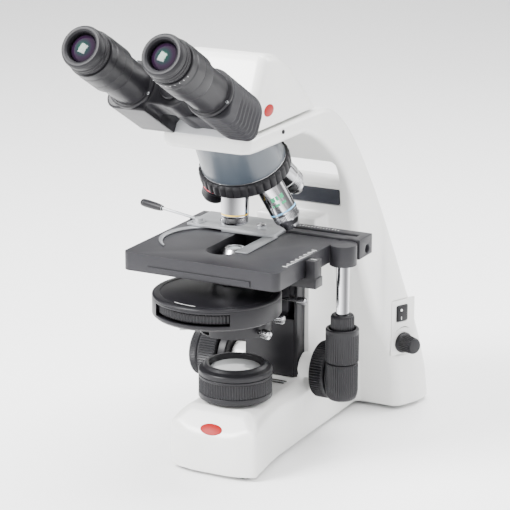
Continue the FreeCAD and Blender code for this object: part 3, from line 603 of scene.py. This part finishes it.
def stand_form(x, y, z):
    """Foot and tower as one painted shell."""
    side = outline_distance(y + 0 * z, z + 0 * y, TOWER_SIDE)
    tower = meet(side, outline_distance(x + 0 * z, z + 0 * x, TOWER_FRONT), 6)
    tower = meet(tower, outline_distance(x + 0 * y, y + 0 * x, TOWER_PLAN), 6)
    arch = np.maximum(outline_distance(y + 0 * z, z + 0 * y, ARCH_RECESS), np.abs(x) - 42)
    tower = carve(tower, arch, 2)
    column = meet(outline_distance(y + 0 * z, z + 0 * y, COLUMN_SIDE), np.abs(x) - 31.5 + 0 * (y + z), 2)
    tower = join(tower, column, 3)
    cheek_top = np.where(x > 0, 158, 118)
    cheeks = np.maximum(box_distance(np.abs(x), y, z, (25, 88, 50), (31.5, 104, 400), 1), z - cheek_top)
    shaft = np.sqrt((y - SHAFT_Y) ** 2 + (z - SHAFT_Z) ** 2)
    boss = np.maximum(shaft - BOSS_RADIUS, SHAFT_RADIUS + 0.05 - shaft)
    bosses = np.maximum(boss, np.abs(np.abs(x) - 35.6) - 8.2)
    tower = np.minimum(tower, np.maximum(np.minimum(cheeks, bosses), BASE_TOP - z))
    tower = carve(tower, box_distance(x, y, z, (-47, 80, 238), (47, 260, 264), 5), 3)
    tower = carve(tower, box_distance(x, y, z, (-47, 100, 219), (47, 124, 235), 1), 1)
    base = meet(outline_distance(x + 0 * y, y + 0 * x, BASE_PLAN),
                outline_distance(y + 0 * z, z + 0 * y, BASE_SIDE), 6)
    base = meet(base, outline_distance(x + 0 * z, z + 0 * x, BASE_END), 6)
    body = meet(join(tower, base, 7), 4 - z + 0 * (x + y), 1.2)
    body = carve(body, box_distance(x, y, z, (-14.3, 205, 29.7), (14.3, 250, 50.3), 2), 1)
    body = carve(body, box_distance(x, y, z, (-6, 88, 42), (6, 98, 90), 0.5), 0.5)
    out, along = panel_directions(x, y)
    middle = PANEL_MIDDLE[2]
    seat = box_distance(out, along, z, (-3, -15, middle - 28), (9, 15, middle + 28), 2)
    return carve(body, seat, 1)


HEAD_OUTER = [(-55, 321.4), (-50, 330), (-34, 357), (-20.5, 380)]
HEAD_BACK = smooth_path([(-10, 385.6), (8, 381.5), (28, 371), (45, 356), (64, 339), (76, 324)])
HEAD_SIDE = HEAD_OUTER + [(-17, 385)] + HEAD_BACK + [(77, 321.4)]


def head_form(x, y, z):
    """The binocular head's wedge with broad rounded shoulders."""
    side = outline_distance(y + 0 * z, z + 0 * y, HEAD_SIDE)
    wide = np.abs(x) - 42 + np.maximum(z - 345, 0) * 0.045 + 0 * (y + z)
    soft = meet(side + 0 * x, wide, 8)
    crisp = meet(side + 0 * x, wide, 2)
    share = np.clip((z - 322) / 14, 0, 1)
    return crisp * (1 - share) + soft * share


sculpt("stand_shell", (-97, -59, 2), (97, 240, 323), 1.7, stand_form, "white_paint", "stand",
       ("base_casting", "arm_casting"))
sculpt("head_shell", (-44, -57, 320), (44, 79, 388), 1.5, head_form, "white_paint", "head", ("head_casting",))


# ------------------------------------------------------------------ stand details
def badge(name, matrix, half_x, half_y, body):
    """A blank domed enamel oval."""
    plates(name, [oval(half_x, half_y)], -0.4, 0.5, matrix, "red", body, 0.3)


def stand_pieces():
    """Inlays, cover, feet, lamp house, panel and the fixed focus housing."""
    # Painted shade: black ink strips on the foot stand for the dark inside of the cooling slots.
    plates("cooling_slots", [oblong(-18, 24, y, y + 2.2, 1) for y in (50, 56)], -0.5, 0.04,
           place(0, 0, BASE_TOP), "ink_black", "stand", 0.01)
    plates("window_inlay", [oblong(-46.2, 46.2, 219.8, 234.2, 1.5)], 0, 2.6, place(0, 124, 0, ("X", 90)),
           "slate", "stand", 0.5)
    badge("front_badge", place(0, -46.9, 44.4, ("X", 46.2)), 11, 5.6, "stand")
    for side in (1, -1):
        screw = facing(side * 46.3, 5, 314, (side, 0, 0))
        lathe("head_clamp_" + ("right" if side > 0 else "left"), [
            (0, -1), (1.9, -1), (1.9, 0.1), (1.1, 0.2), (1.0, -0.5), (0, -0.5)
        ], screw, "black_plastic", "stand", steps=24, soft=0.1)
    refine("base_cover", "steel", 0.2)
    refine("cover_screws", "steel", 0.15)
    refine("rubber_feet", "rubber", 0.5)
    keep("lamp_module", "aluminium")
    keep("power_supply", "board")
    refine("power_inlet", "black_plastic", 0.4)
    refine("focus_guide_rail", "steel", 0.4)
    refine("focus_gear_box", "black_paint", 0.8)
    keep("head_dovetail_ring", "aluminium")
    lathe("collector_top", [
        (21, BASE_TOP), (29.5, BASE_TOP), (29.5, 85.2), (34, 85.5), (34, 89.4), (33.2, 90.6), (29.6, 92.2),
        (27.4, 95), (25.2, 95), (24, 93.8), (24, 88), (21, 88)
    ], place(0, 0, 0), "black_plastic", "stand", ("collector_housing",), soft=0.5)
    lathe("field_glass", [
        (0, 80), (20.7, 80), (20.7, 84), (14, 86), (7, 87.2), (0, 87.6)
    ], place(0, 0, 0), "lens", "stand", ("field_lens",), soft=1)
    lathe("filter_disc", [
        (0, 88.2), (23.4, 88.2), (23.7, 88.5), (23.7, 89.6), (23.4, 89.9), (0, 89.9)
    ], place(0, 0, 0), "frosted", "stand", slot="glass", soft=0.1)
    lathe("field_knurl", [
        (29.8, 63.4), (33.6, 63.4), (34, 63.8), (34, 68.6), (33.4, 68.9), (33.9, 69.4, 1), (33.9, 82, 1),
        (33.4, 82.5), (34, 82.9), (34, 84.6), (33.6, 85), (29.8, 85)
    ], place(0, 0, 0), "black_plastic", "field_diaphragm", ("field_ring",), ribs=84, depth=0.8, soft=0.25)
    refine("control_panel", "white_paint", 0.3)
    refine("switch_rocker", "black_plastic", 0.6)
    panel = place(*PANEL_MIDDLE, ("Z", degrees(PANEL_TURN)), ("Y", 90), ("Z", 90))
    plates("switch_frame", [oblong(-9.6, 5.6, 6, 22.2, 1.5)], -1, 0.35, panel, "black_plastic", "stand", 0.2)
    plates("switch_marks", [oblong(-4.6, -4.1, 8.5, 11.5), oval(1.3, 1.3, 20, -4.3, 18)], 2.1, 2.6,
           panel, "ink_white", "rocker", 0.02)
    wedge = [(-9 + 18 * i / 16, -3.4 + 2.6 * sin(pi * i / 16)) for i in range(17)]
    wedge += [(18 * i / 16 - 9, -3.5 + (2.6 + 1.5 * i / 16) * sin(pi * i / 16)) for i in range(15, 0, -1)]
    plates("brightness_mark", [wedge[::-1]], -0.3, 0.12, panel, "ink_black", "stand", 0.02)
    lathe("dimmer_grip", [
        (0, 0), (10.2, 0), (10.2, 2.3), (9.4, 3.4), (8.8, 4.5, 1), (7.9, 16.2, 1), (6.9, 17.8), (0, 18.1)
    ], panel @ shift(0, -16, 0.2), "black_plastic", "dimmer", ("dimmer_knob",), ribs=26, depth=0.55,
       soft=0.5)


# ------------------------------------------------------------------ focus drive
def focus_pieces():
    """Ribbed coarse rims, knurled fine knobs, carriage and bracket."""
    plain = [(SHAFT_RADIUS, 44.3), (22.5, 44.3), (25.8, 45.4), (COARSE_RADIUS, 47, 1)]
    ringed = [(SHAFT_RADIUS, 44.3), (22.6, 44.3), (24, 45.2), (24, 52.4), (20, 52.6), (20, 53.6), (24, 53.8),
              (25.9, 54.6), (COARSE_RADIUS, 56, 1)]
    for side, name, inner, out in ((1, "right", plain, 0), (-1, "left", ringed, LEFT_REACH)):
        axle = facing(0, SHAFT_Y, SHAFT_Z, (side, 0, 0))
        rim = [(COARSE_RADIUS, 57.2, 1), (25.7, 59.2), (24.8, 59.7), (SHAFT_RADIUS, 59.7)]
        lathe("coarse_rim_" + name, inner + [(p[0], p[1] + out, *p[2:]) for p in rim], axle, "black_plastic",
              "coarse_focus", ("coarse_knobs",), ribs=64, depth=1.0, soft=0.5)
        fine = [(4, 60.1), (23.4, 60.1), (24.4, 61.4), (FINE_RADIUS, 62.6, 1), (FINE_RADIUS, 67, 1),
                (24, 68.4), (22.4, 69.9), (16, 69.9), (14, 69.2), (9, 68.9), (8, 68.4), (0, 68.4)]
        lathe("fine_rim_" + name, [(p[0], p[1] + out, *p[2:]) for p in fine], axle, "black_plastic",
              "fine_focus", ("fine_knobs",), ribs=96, depth=0.5, soft=0.4)
    lathe("focus_shaft", [
        (0, -44.6), (SHAFT_RADIUS, -44.6), (SHAFT_RADIUS, 44.6), (0, 44.6)
    ], facing(0, SHAFT_Y, SHAFT_Z, (1, 0, 0)), "steel", "coarse_focus", slot="black_plastic", steps=32)
    refine("focus_carriage", "black_paint", 0.9)
    refine("stage_bracket", "black_paint", 0.8)


# ------------------------------------------------------------------ stage
def stage_pieces():
    """Coated plate with scales, rail, coaxial drive, slide holder and finger."""
    refine("stage_plate", "stage_paint", 1.1, segments=3)
    refine("stage_rail", "stage_paint", 0.9, segments=3)
    front = place(0, -68.4, 0, ("X", 90))
    # Painted shadow: a black sheet just larger than the cover shows as a dark line round it.
    plates("front_gap_painted_shadow", [oblong(-52, 52, 190.8, 197.4, 1.4)], -0.3, 0.25, front, "black_plastic", "stage_y",
           0.1)
    plates("front_cover", [oblong(-51, 51, 191.4, 196.6, 1.2)], 0, 1.5, front, "stage_paint", "stage_y", 0.35)
    top = place(0, 0, STAGE_TOP)
    ticks = [oblong(75.2 - (5 if i % 2 == 0 else 3), 75.2, y, y + 0.9)
             for i, y in enumerate(np.linspace(-45, 13, 15))]
    plates("side_scale", ticks, -0.1, 0.06, top, "ink_white", "stage_y", 0.01)
    rail = place(0, 0, STAGE_TOP + 2)
    ticks = [oblong(x, x + 0.7, 76, 76 + (4.4 if i % 5 == 0 else 2.6))
             for i, x in enumerate(np.linspace(-30, 66, 33))]
    plates("rail_scale", ticks, -0.1, 0.06, rail, "ink_white", "stage_y", 0.01)
    plates("index_mark", [oblong(81, 86.6, -10.3, -9.7)], -0.1, 0.08, place(0, 0, STAGE_TOP - 1), "ink_white",
           "stage_lift", 0.01)
    axle = place(87, 44, 0)
    lathe("drive_tube", [
        (4.6, 118.5), (5.7, 118.5), (6, 118.8), (6, 202.6), (5.7, 203), (4.6, 203)
    ], axle, "chrome", "stage_y", ("drive_column",), steps=64, soft=0.2)
    lathe("drive_collar_ribbed", [
        (6.1, 119), (10.6, 119), (11, 119.6, 1), (11, 138.4, 1), (10, 140.4), (9, 141), (6.1, 141)
    ], axle, "black_plastic", "stage_y", ("drive_collar",), ribs=30, depth=0.5, soft=0.3)
    lathe("y_grip", [
        (3, 96), (14.6, 96), (15.4, 96.9, 1), (15.4, 122.4, 1), (15.3, 123.2), (15.4, 127), (14.6, 128),
        (12.7, 128), (12.4, 127.4), (12.4, 117), (3, 117)
    ], axle, "black_plastic", "y_drive", ("stage_y_knob",), ribs=44, depth=0.65, soft=0.35)
    lathe("x_grip", [
        (0, 60), (11.6, 60), (13.2, 61.4), (14.2, 64.6, 1), (14.9, 69, 1), (14.9, 93.6, 1), (14.4, 94.9),
        (13.6, 95.4), (3, 95.4)
    ], axle, "black_plastic", "x_drive", ("stage_x_knob",), ribs=44, depth=0.65, soft=0.35)
    lathe("x_shaft", [
        (0, 95), (2.3, 95), (2.3, 197.8), (0, 197.8)
    ], axle, "steel", "x_drive", slot="black_plastic", steps=24)
    lathe("rail_screw", [
        (0, 0), (2.6, 0), (2.9, 0.3), (2.9, 2.6), (2.2, 3), (1.3, 3), (1.2, 1.6), (0, 1.6)
    ], facing(90.2, 72, 197, (1, 0, 0)), "chrome", "stage_y", steps=32, soft=0.2)
    refine("slide_holder", "aluminium", 0.3)
    for i, x in enumerate((-34, 4)):
        lathe("holder_screw_%d" % i, [
            (0, 213), (3.9, 213), (4.2, 213.4, 1), (4.2, 215, 1), (3.6, 215.5), (0.5, 215.6), (0, 215.6)
        ], place(x, 44, 0), "barrel", "stage_x", ribs=20, depth=0.35, soft=0.2)
    refine("holder_finger", "aluminium", 0.25)
    lever = facing(-58, 38, 213.4, (-50, 9, 4)) @ shift(0, 0, 44)
    lathe("finger_grip", [
        (0, -0.3), (2.4, -0.3), (3.0, 1.4), (3.6, 8), (3.8, 20), (3.4, 24), (2.6, 25.3), (0, 25.4)
    ], lever, "black_plastic", "finger", steps=40, soft=0.6)


# ------------------------------------------------------------------ condenser
def condenser_pieces():
    """Carrier, turret with its window and wheel, screws, key and lever."""
    refine("condenser_carrier", "black_paint", 0.7)
    refine("condenser_housing", "black_paint", 0.6)
    refine("turret_cover", "black_paint", 0.5)
    middle = place(0, -35, 0)
    lathe("turret_rim", [
        (50.6, 171.9), (51.2, 172.3), (56.4, 172.3), (57, 171.8)
    ], middle, "black_paint", "condenser", steps=128, soft=0.2)
    arc = [(r * cos(radians(t)), r * sin(radians(t)))
           for r, turns in ((49.6, range(-110, -83, 2)), (49.0, range(-84, -111, -2))) for t in turns]
    plates("turret_mark", [arc[::-1]], 172, 172.12, middle, "ink_white", "condenser", 0.01)
    lathe("wheel_rim", [
        (4.1, 157.6), (53.6, 157.6), (54.9, 158.6, 1), (54.9, 165.4, 1), (53.6, 166.4), (4.1, 166.4)
    ], middle, "black_plastic", "phase", ("phase_wheel",), ribs=110, depth=0.9, soft=0.3)
    lathe("condenser_lens_mount", [
        (8, 172.2), (19, 172.2), (19, 179.4), (18.4, 180.4), (13.4, 187.6), (13, 189), (12.4, 198.6),
        (9.6, 203.6), (6, 203.8), (6, 199), (8, 199)
    ], place(0, 0, 0), "barrel", "condenser", ("condenser_top",), slot="aluminium", soft=0.4)
    lathe("condenser_lens", [
        (0, 199.4), (5.9, 199.4), (5.9, 203), (3, 203.5), (0, 203.7)
    ], place(0, 0, 0), "lens", "condenser", steps=48, soft=0.4)
    for name, turn, high in (("front", 68, 131.5), ("side", 98, 140)):
        way = (sin(radians(turn)), -cos(radians(turn)), 0)
        screw = facing(33 * way[0], 33 * way[1], high, way)
        lathe("centring_" + name, [
            (0, 0), (2.2, 0), (2.2, 4.4), (3.8, 4.8), (4.3, 5.4, 1), (4.3, 12.8, 1), (3.6, 13.9), (0, 14)
        ], screw, "barrel", "screw_" + name, ("centring_screw_" + name,), slot="chrome", ribs=18, depth=0.3,
           soft=0.3)
    lathe("turret_key_turned", [
        (0, 0), (1.5, 0), (1.5, 17), (3, 17.3), (3.4, 17.9), (3.4, 25.3), (2.8, 26), (0, 26)
    ], facing(42.7, 6, 160.5, (1, 0, 0)), "barrel", "key", ("turret_key",), slot="chrome", steps=40,
       soft=0.3)
    refine("iris_lever", "steel", 0.3)
    lathe("condenser_grip", [
        (0, -8), (3, -8), (3, 25), (9.4, 25.2), (10.4, 26.4, 1), (10.4, 38, 1), (9.2, 39.8), (0, 40)
    ], facing(0, 80, 160, (-1, 0, 0)), "black_plastic", "condenser_drive", ("condenser_knob",), ribs=30,
       depth=0.5, soft=0.4)


# ------------------------------------------------------------------ nosepiece
def ring_on(name, spin, radius, low, high, look, body="nosepiece"):
    """A coloured band round an objective."""
    lathe(name, [
        (radius - 0.8, low), (radius + 0.06, low), (radius + 0.06, high), (radius - 0.8, high)
    ], on_port(spin), look, body, steps=72, soft=0.05)


def wrapped_marks(name, spin, radius, marks, look):
    """Small printed bars wrapped round an objective: (middle angle, half angle, low, high) each."""
    points, faces = [], []
    steps = 6
    for turn, half, low, high in marks:
        first = len(points)
        for i in range(steps + 1):
            t = radians(turn - half + 2 * half * i / steps)
            for r in (radius - 0.2, radius + 0.05):
                points += [(r * cos(t), r * sin(t), low), (r * cos(t), r * sin(t), high)]
        for a in range(first, first + 4 * steps, 4):
            faces += [(a, a + 1, a + 5, a + 4), (a + 2, a + 6, a + 7, a + 3), (a, a + 4, a + 6, a + 2),
                      (a + 1, a + 3, a + 7, a + 5)]
        last = first + 4 * steps
        faces += [(first, first + 2, first + 3, first + 1), (last, last + 1, last + 3, last + 2)]
    obj = add_object(name, mesh_from(name, points, faces), on_port(spin))
    finish_piece(obj, look, "nosepiece")


def nosepiece_pieces():
    """Enamelled collar, scalloped turning ring, turret and objectives."""
    refine("nosepiece_collar", "collar", 0.5)
    refine("nosepiece_turret", "barrel", 0.4)
    lathe("turning_ring", [
        (37, -18.6), (40.2, -18.6), (41.2, -17.8, 1), (42, -16.6, 1), (42, -8.2, 1), (41.2, -6.8, 1),
        (40.2, -6.2), (37, -6.2)
    ], on_nose(), "soft_black", "nosepiece", ("nosepiece_grip",), slot="black_rubber", ribs=36, depth=1.5,
       sharp=4, soft=0.4)
    lathe("collar_bead", [
        (38.2, -19.6), (38.9, -19.6), (38.9, -18.9), (38.2, -18.9)
    ], on_nose(), "chrome", "stand", steps=128, soft=0.2)
    thread = [(4.2, -5), (10.1, -5), (10.1, 0)]
    shapes = {
        "low": (288, "black_paint", [
            (12.2, 0), (12.5, 0.4), (12.5, 11), (11.8, 12), (11.8, 18.6), (9.6, 22), (4.2, 22), (4.2, 20)]),
        "medium": (0, "chrome", [
            (12.2, 0), (12.5, 0.4), (12.5, 18.8), (12.1, 19.8), (11.9, 24.6), (11.2, 26), (10.4, 26.5),
            (6, 26.5), (4.2, 25.4), (4.2, 23)]),
        "high": (72, "chrome", [
            (12.4, 0), (12.7, 0.4), (12.7, 28), (12.2, 28.8), (12.2, 34.6), (11.4, 36.4), (8.2, 41),
            (7.4, 44), (6.8, 44.3), (4.2, 43.6), (4.2, 41)]),
        "oil": (144, "chrome", [
            (12.4, 0), (12.7, 0.4), (12.7, 24), (12, 25), (12, 32.6), (11.4, 33.4), (9.4, 34), (8.6, 39),
            (5.4, 43.8), (4.2, 44.4), (3, 43), (3, 41)]),
    }
    for name, (spin, look, profile) in shapes.items():
        lathe("barrel_" + name, thread + profile, on_port(spin, 0.04), look, "nosepiece",
              ("objective_" + name,), soft=0.3)
        tip = max(z for r, z in profile) - 2
        lathe("front_lens_" + name, [
            (0, tip - 2), (4.3, tip - 2), (4.3, tip), (2, tip + 0.5), (0, tip + 0.6)
        ], on_port(spin, 0.04), "eye_lens", "nosepiece", steps=32, soft=0.2)
    ring_on("band_yellow", 0, 12.5, 16.4, 17.7, "yellow")
    ring_on("band_blue", 72, 12.7, 25.2, 26.6, "blue")
    ring_on("band_red", 288, 12.5, 8.0, 9.0, "red_ring")
    ring_on("band_white", 144, 12.7, 21.8, 22.8, "ink_white")
    for name, spin, low, high, radius in (("high", 72, 29.4, 33.8, 12.2), ("oil", 144, 26, 32, 12.0)):
        band = [(radius - 1, low), (radius + 0.15, low, 1), (radius + 0.15, high, 1), (radius - 1, high)]
        lathe("knurl_" + name, band, on_port(spin), "barrel", "nosepiece", slot="chrome", ribs=60, depth=0.3,
              soft=0.1)
    bars = [(270 + 14 * i, 4.5 if i % 2 else 2.5, 5 + i % 3, 8.5) for i in range(-3, 4)]
    bars += [(250, 6, 10.5, 13.5), (266, 5, 10.5, 13.5), (300, 12, 11.5, 12.5)]
    wrapped_marks("marks_medium", 0, 12.5, bars, "ink_black")
    wrapped_marks("marks_high", 72, 12.7, [(t, h, 9, 13) for t, h in ((100, 8), (122, 5), (140, 8))]
                  + [(t, h, 16, 18.2) for t, h in ((104, 10), (132, 9), (152, 4))], "green")


# ------------------------------------------------------------------ head
def arm_form(side):
    """Signed distance of one prism arm in the hinge's frame: sleeve, squared outer corner, web and hub."""
    low, high = (20.5, 51) if side > 0 else (51.3, 80)

    def form(x, y, z):
        out = side * x - EYE_X
        angle = np.arctan2(y, out)
        waves = 0.5 + 0.5 * np.cos(2 * pi * (z - 24) / 6.5 + 0.9 * np.sin(2 * angle))
        run = np.clip((z - 24) / 2, 0, 1) * np.clip((68 - z) / 2, 0, 1)
        rib = 1.0 * waves * run if side > 0 else 0
        round_part = np.sqrt(out * out + y * y) - 21.5
        corner = 9
        qu, qv = np.maximum(out - (21.5 - corner), 0), np.maximum(-y - (21.5 - corner), 0)
        squared = np.sqrt(qu * qu + qv * qv) - corner + np.minimum(np.maximum(out, -y) - (21.5 - corner), 0)
        section = np.where((out > 0) & (y < 0), squared, round_part)
        if side < 0:
            flat = np.maximum(np.maximum(out, -out - 17.5), np.maximum(-y - 21.5, y))
            section = np.minimum(section, flat)
        sleeve = meet(section + rib, np.abs(z - 50.25) - 29.75, 1.5)
        web = np.maximum(np.abs(side * x - EYE_X / 2) - EYE_X / 2, np.abs(y) - 14.5)
        hub = np.sqrt(x * x + y * y) - 15.5
        inner = meet(np.minimum(web, hub) + 0 * z, np.abs(z - (low + high) / 2) - (high - low) / 2, 1.5)
        return join(sleeve, inner, 3)
    return form


def eye_pieces(side, name):
    """One arm with its capped tube, screws, eyepiece, focusing ring and eyecup."""
    body = "arm_" + name
    low, high = ((-16, -22, 20), (60, 22, 81)) if side > 0 else ((-60, -22, 20), (16, 22, 81))
    sculpt("arm_shell_" + name, low, high, 1.1, arm_form(side), "rubber" if side > 0 else "black_paint", body,
           ("prism_arm_" + name,), on_tube(0))
    axle = on_tube(side * EYE_X)
    lathe("eye_tube_shell_" + name, [
        (15.2, 80.2), (21.3, 80.2), (21.5, 80.5), (21.5, 82.6), (20.6, 83.9), (18.7, 84.1), (18.4, 84.8),
        (18.4, 116.6), (17.6, 118), (15.2, 118)
    ], axle, "black_paint", body, ("eye_tube_" + name,), soft=0.4)
    for turn in (200, 340, 90):
        spot = axle @ Matrix.Rotation(radians(turn), 4, "Z") @ shift(20, 0, 83)
        lathe("cap_screw_%s_%d" % (name, turn), [
            (0, -0.5), (1.3, -0.5), (1.3, 0.9), (1.0, 1.1), (0.6, 1.1), (0.5, 0.4), (0, 0.4)
        ], spot, "steel", body, steps=20, soft=0.1, slot="black_paint")
    lathe("eyepiece_shell_" + name, [
        (13, 92), (15, 92), (15, 118.3), (19.6, 118.4), (20.5, 119.2), (20.7, 120.4), (20.7, 133),
        (20.5, 133.3), (20.7, 133.6), (20.7, 147), (20.3, 148.4), (20.4, 155.6), (20.2, 156.8),
        (19.6, 157), (14.9, 157), (14.9, 165), (13, 165)
    ], axle, "black_plastic", body, ("eyepiece_" + name,), soft=0.5)
    lathe("coated_lens_" + name, [
        (0, 150), (12.3, 150), (12.3, 167.4), (11.4, 168.4), (8, 169.8), (4, 170.6), (0, 170.9)
    ], axle, "eye_lens", body, ("eye_lens_" + name,), slot="glass", soft=1.5)
    cup = "diopter_" + name
    lathe("eyecup_shell_" + name, [
        (15, 157.5), (18.6, 157.5), (19.1, 158, 1), (19.1, 161.6, 1), (18.4, 162.2), (18.4, 163),
        (19, 163.5), (19, 165), (18.2, 165.6), (18.7, 167), (18.6, 171.2), (17.8, 173.2), (16.8, 174),
        (14.6, 173.7), (13.2, 172.6), (12.7, 170.6), (12.7, 165.4), (15, 165.3)
    ], axle, "soft_black", cup, ("diopter_eyecup_" + name,), slot="black_rubber", ribs=72, depth=0.35,
       soft=0.5)
    if side > 0:
        tick = [(-0.1, -0.16), (0.3, -0.16), (0.3, 0.16), (-0.1, 0.16)]
        for i in range(11):
            spot = axle @ Matrix.Rotation(radians(12 * i - 150), 4, "Z") @ shift(20.25, 0, 155.6)
            plates("diopter_tick_%02d" % i, [tick], -1.6 if i % 5 == 0 else -1.0, 0, spot, "ink_white", body,
                   0.01)


def head_pieces():
    """Flange, hinge, prism glass, badge and both eye sides."""
    refine("pivot_flange", "grey_plastic", 0.9, segments=3)
    keep("prism_block", "lens")
    refine("hinge_tube", "black_paint", 0.3)
    lathe("hinge_cap", [
        (0, 80.4), (8.8, 80.4), (9.4, 81), (9.4, 82.6), (8.6, 83.6), (2.2, 83.8), (1.8, 82.8), (0, 82.8)
    ], on_tube(0), "black_paint", "arm_left", steps=64, soft=0.4)
    badge("side_badge", place(42, -16, 337, ("Z", 90), ("X", 90)), 9, 5.4, "head")
    eye_pieces(1, "right")
    eye_pieces(-1, "left")


stand_pieces()
focus_pieces()
stage_pieces()
condenser_pieces()
nosepiece_pieces()
head_pieces()


# ------------------------------------------------------------------ studio
def area_light(name, spot, target, size, power):
    """A soft box aimed at a point."""
    data = bpy.data.lights.new(name, "AREA")
    data.shape = "RECTANGLE"
    data.size = size
    data.size_y = size
    data.energy = power
    obj = bpy.data.objects.new(name, data)
    bpy.context.scene.collection.objects.link(obj)
    obj.location = spot
    obj.rotation_euler = (Vector(target) - Vector(spot)).to_track_quat("-Z", "Y").to_euler()


DARK_BANDS = ((-28, 9), (80, 24), (150, 24))


def studio():
    """Pale floor, white surroundings broken by dark flags, two soft boxes and a strip from behind."""
    world = bpy.data.worlds.new("studio")
    world.use_nodes = True
    tree = world.node_tree
    tree.nodes["Background"].inputs["Strength"].default_value = 2.1
    where = tree.nodes.new("ShaderNodeTexCoord")
    split = tree.nodes.new("ShaderNodeSeparateXYZ")
    tree.links.new(where.outputs["Generated"], split.inputs["Vector"])
    turn = tree.nodes.new("ShaderNodeMath")
    turn.operation = "ARCTAN2"
    tree.links.new(split.outputs["Y"], turn.inputs[0])
    tree.links.new(split.outputs["X"], turn.inputs[1])
    share = tree.nodes.new("ShaderNodeMapRange")
    share.inputs["From Min"].default_value = -pi
    share.inputs["From Max"].default_value = pi
    tree.links.new(turn.outputs["Value"], share.inputs["Value"])
    ramp = tree.nodes.new("ShaderNodeValToRGB")
    tree.links.new(share.outputs["Result"], ramp.inputs["Fac"])
    stops = ramp.color_ramp.elements
    stops[0].color = stops[1].color = (1, 1, 1, 1)
    for middle, half in DARK_BANDS:
        for azimuth, level in ((middle - half - 6, 1), (middle - half, 0.05), (middle + half, 0.05),
                               (middle + half + 6, 1)):
            stops.new(((azimuth + 180) % 360) / 360).color = (level, level, level, 1)
    tree.links.new(ramp.outputs["Color"], tree.nodes["Background"].inputs["Color"])
    bpy.context.scene.world = world
    size = 6.0
    mesh = bpy.data.meshes.new("floor")
    corners = [(-size, -size, 0), (size, -size, 0), (size, size, 0), (-size, size, 0)]
    mesh.from_pydata(corners, [], [(0, 1, 2, 3)])
    floor_piece = add_object("floor", mesh)
    mesh.materials.append(LOOKS["floor"])
    middle = (0, 0, 0.22)
    area_light("key", (-0.9, -1.3, 1.5), middle, 0.8, 120)
    area_light("fill", (1.5, -0.8, 0.8), middle, 1.2, 10)
    area_light("top", (0.1, 0.3, 1.7), middle, 1.2, 60)
    area_light("back", (0.9, 1.2, 0.9), middle, 0.8, 20)


def camera():
    """Level-headed product view from the front right."""
    azimuth, elevation, distance = radians(27.43), radians(16.14), 2
    target = Vector((0.02779, -0.00911, 0.1964))
    data = bpy.data.cameras.new("camera")
    data.lens = 156.5
    data.sensor_width = 36
    obj = bpy.data.objects.new("camera", data)
    bpy.context.scene.collection.objects.link(obj)
    way = Vector((sin(azimuth) * cos(elevation), -cos(azimuth) * cos(elevation), sin(elevation)))
    obj.location = target + distance * way
    obj.rotation_euler = (-way).to_track_quat("-Z", "Y").to_euler()
    bpy.context.scene.camera = obj


studio()
camera()
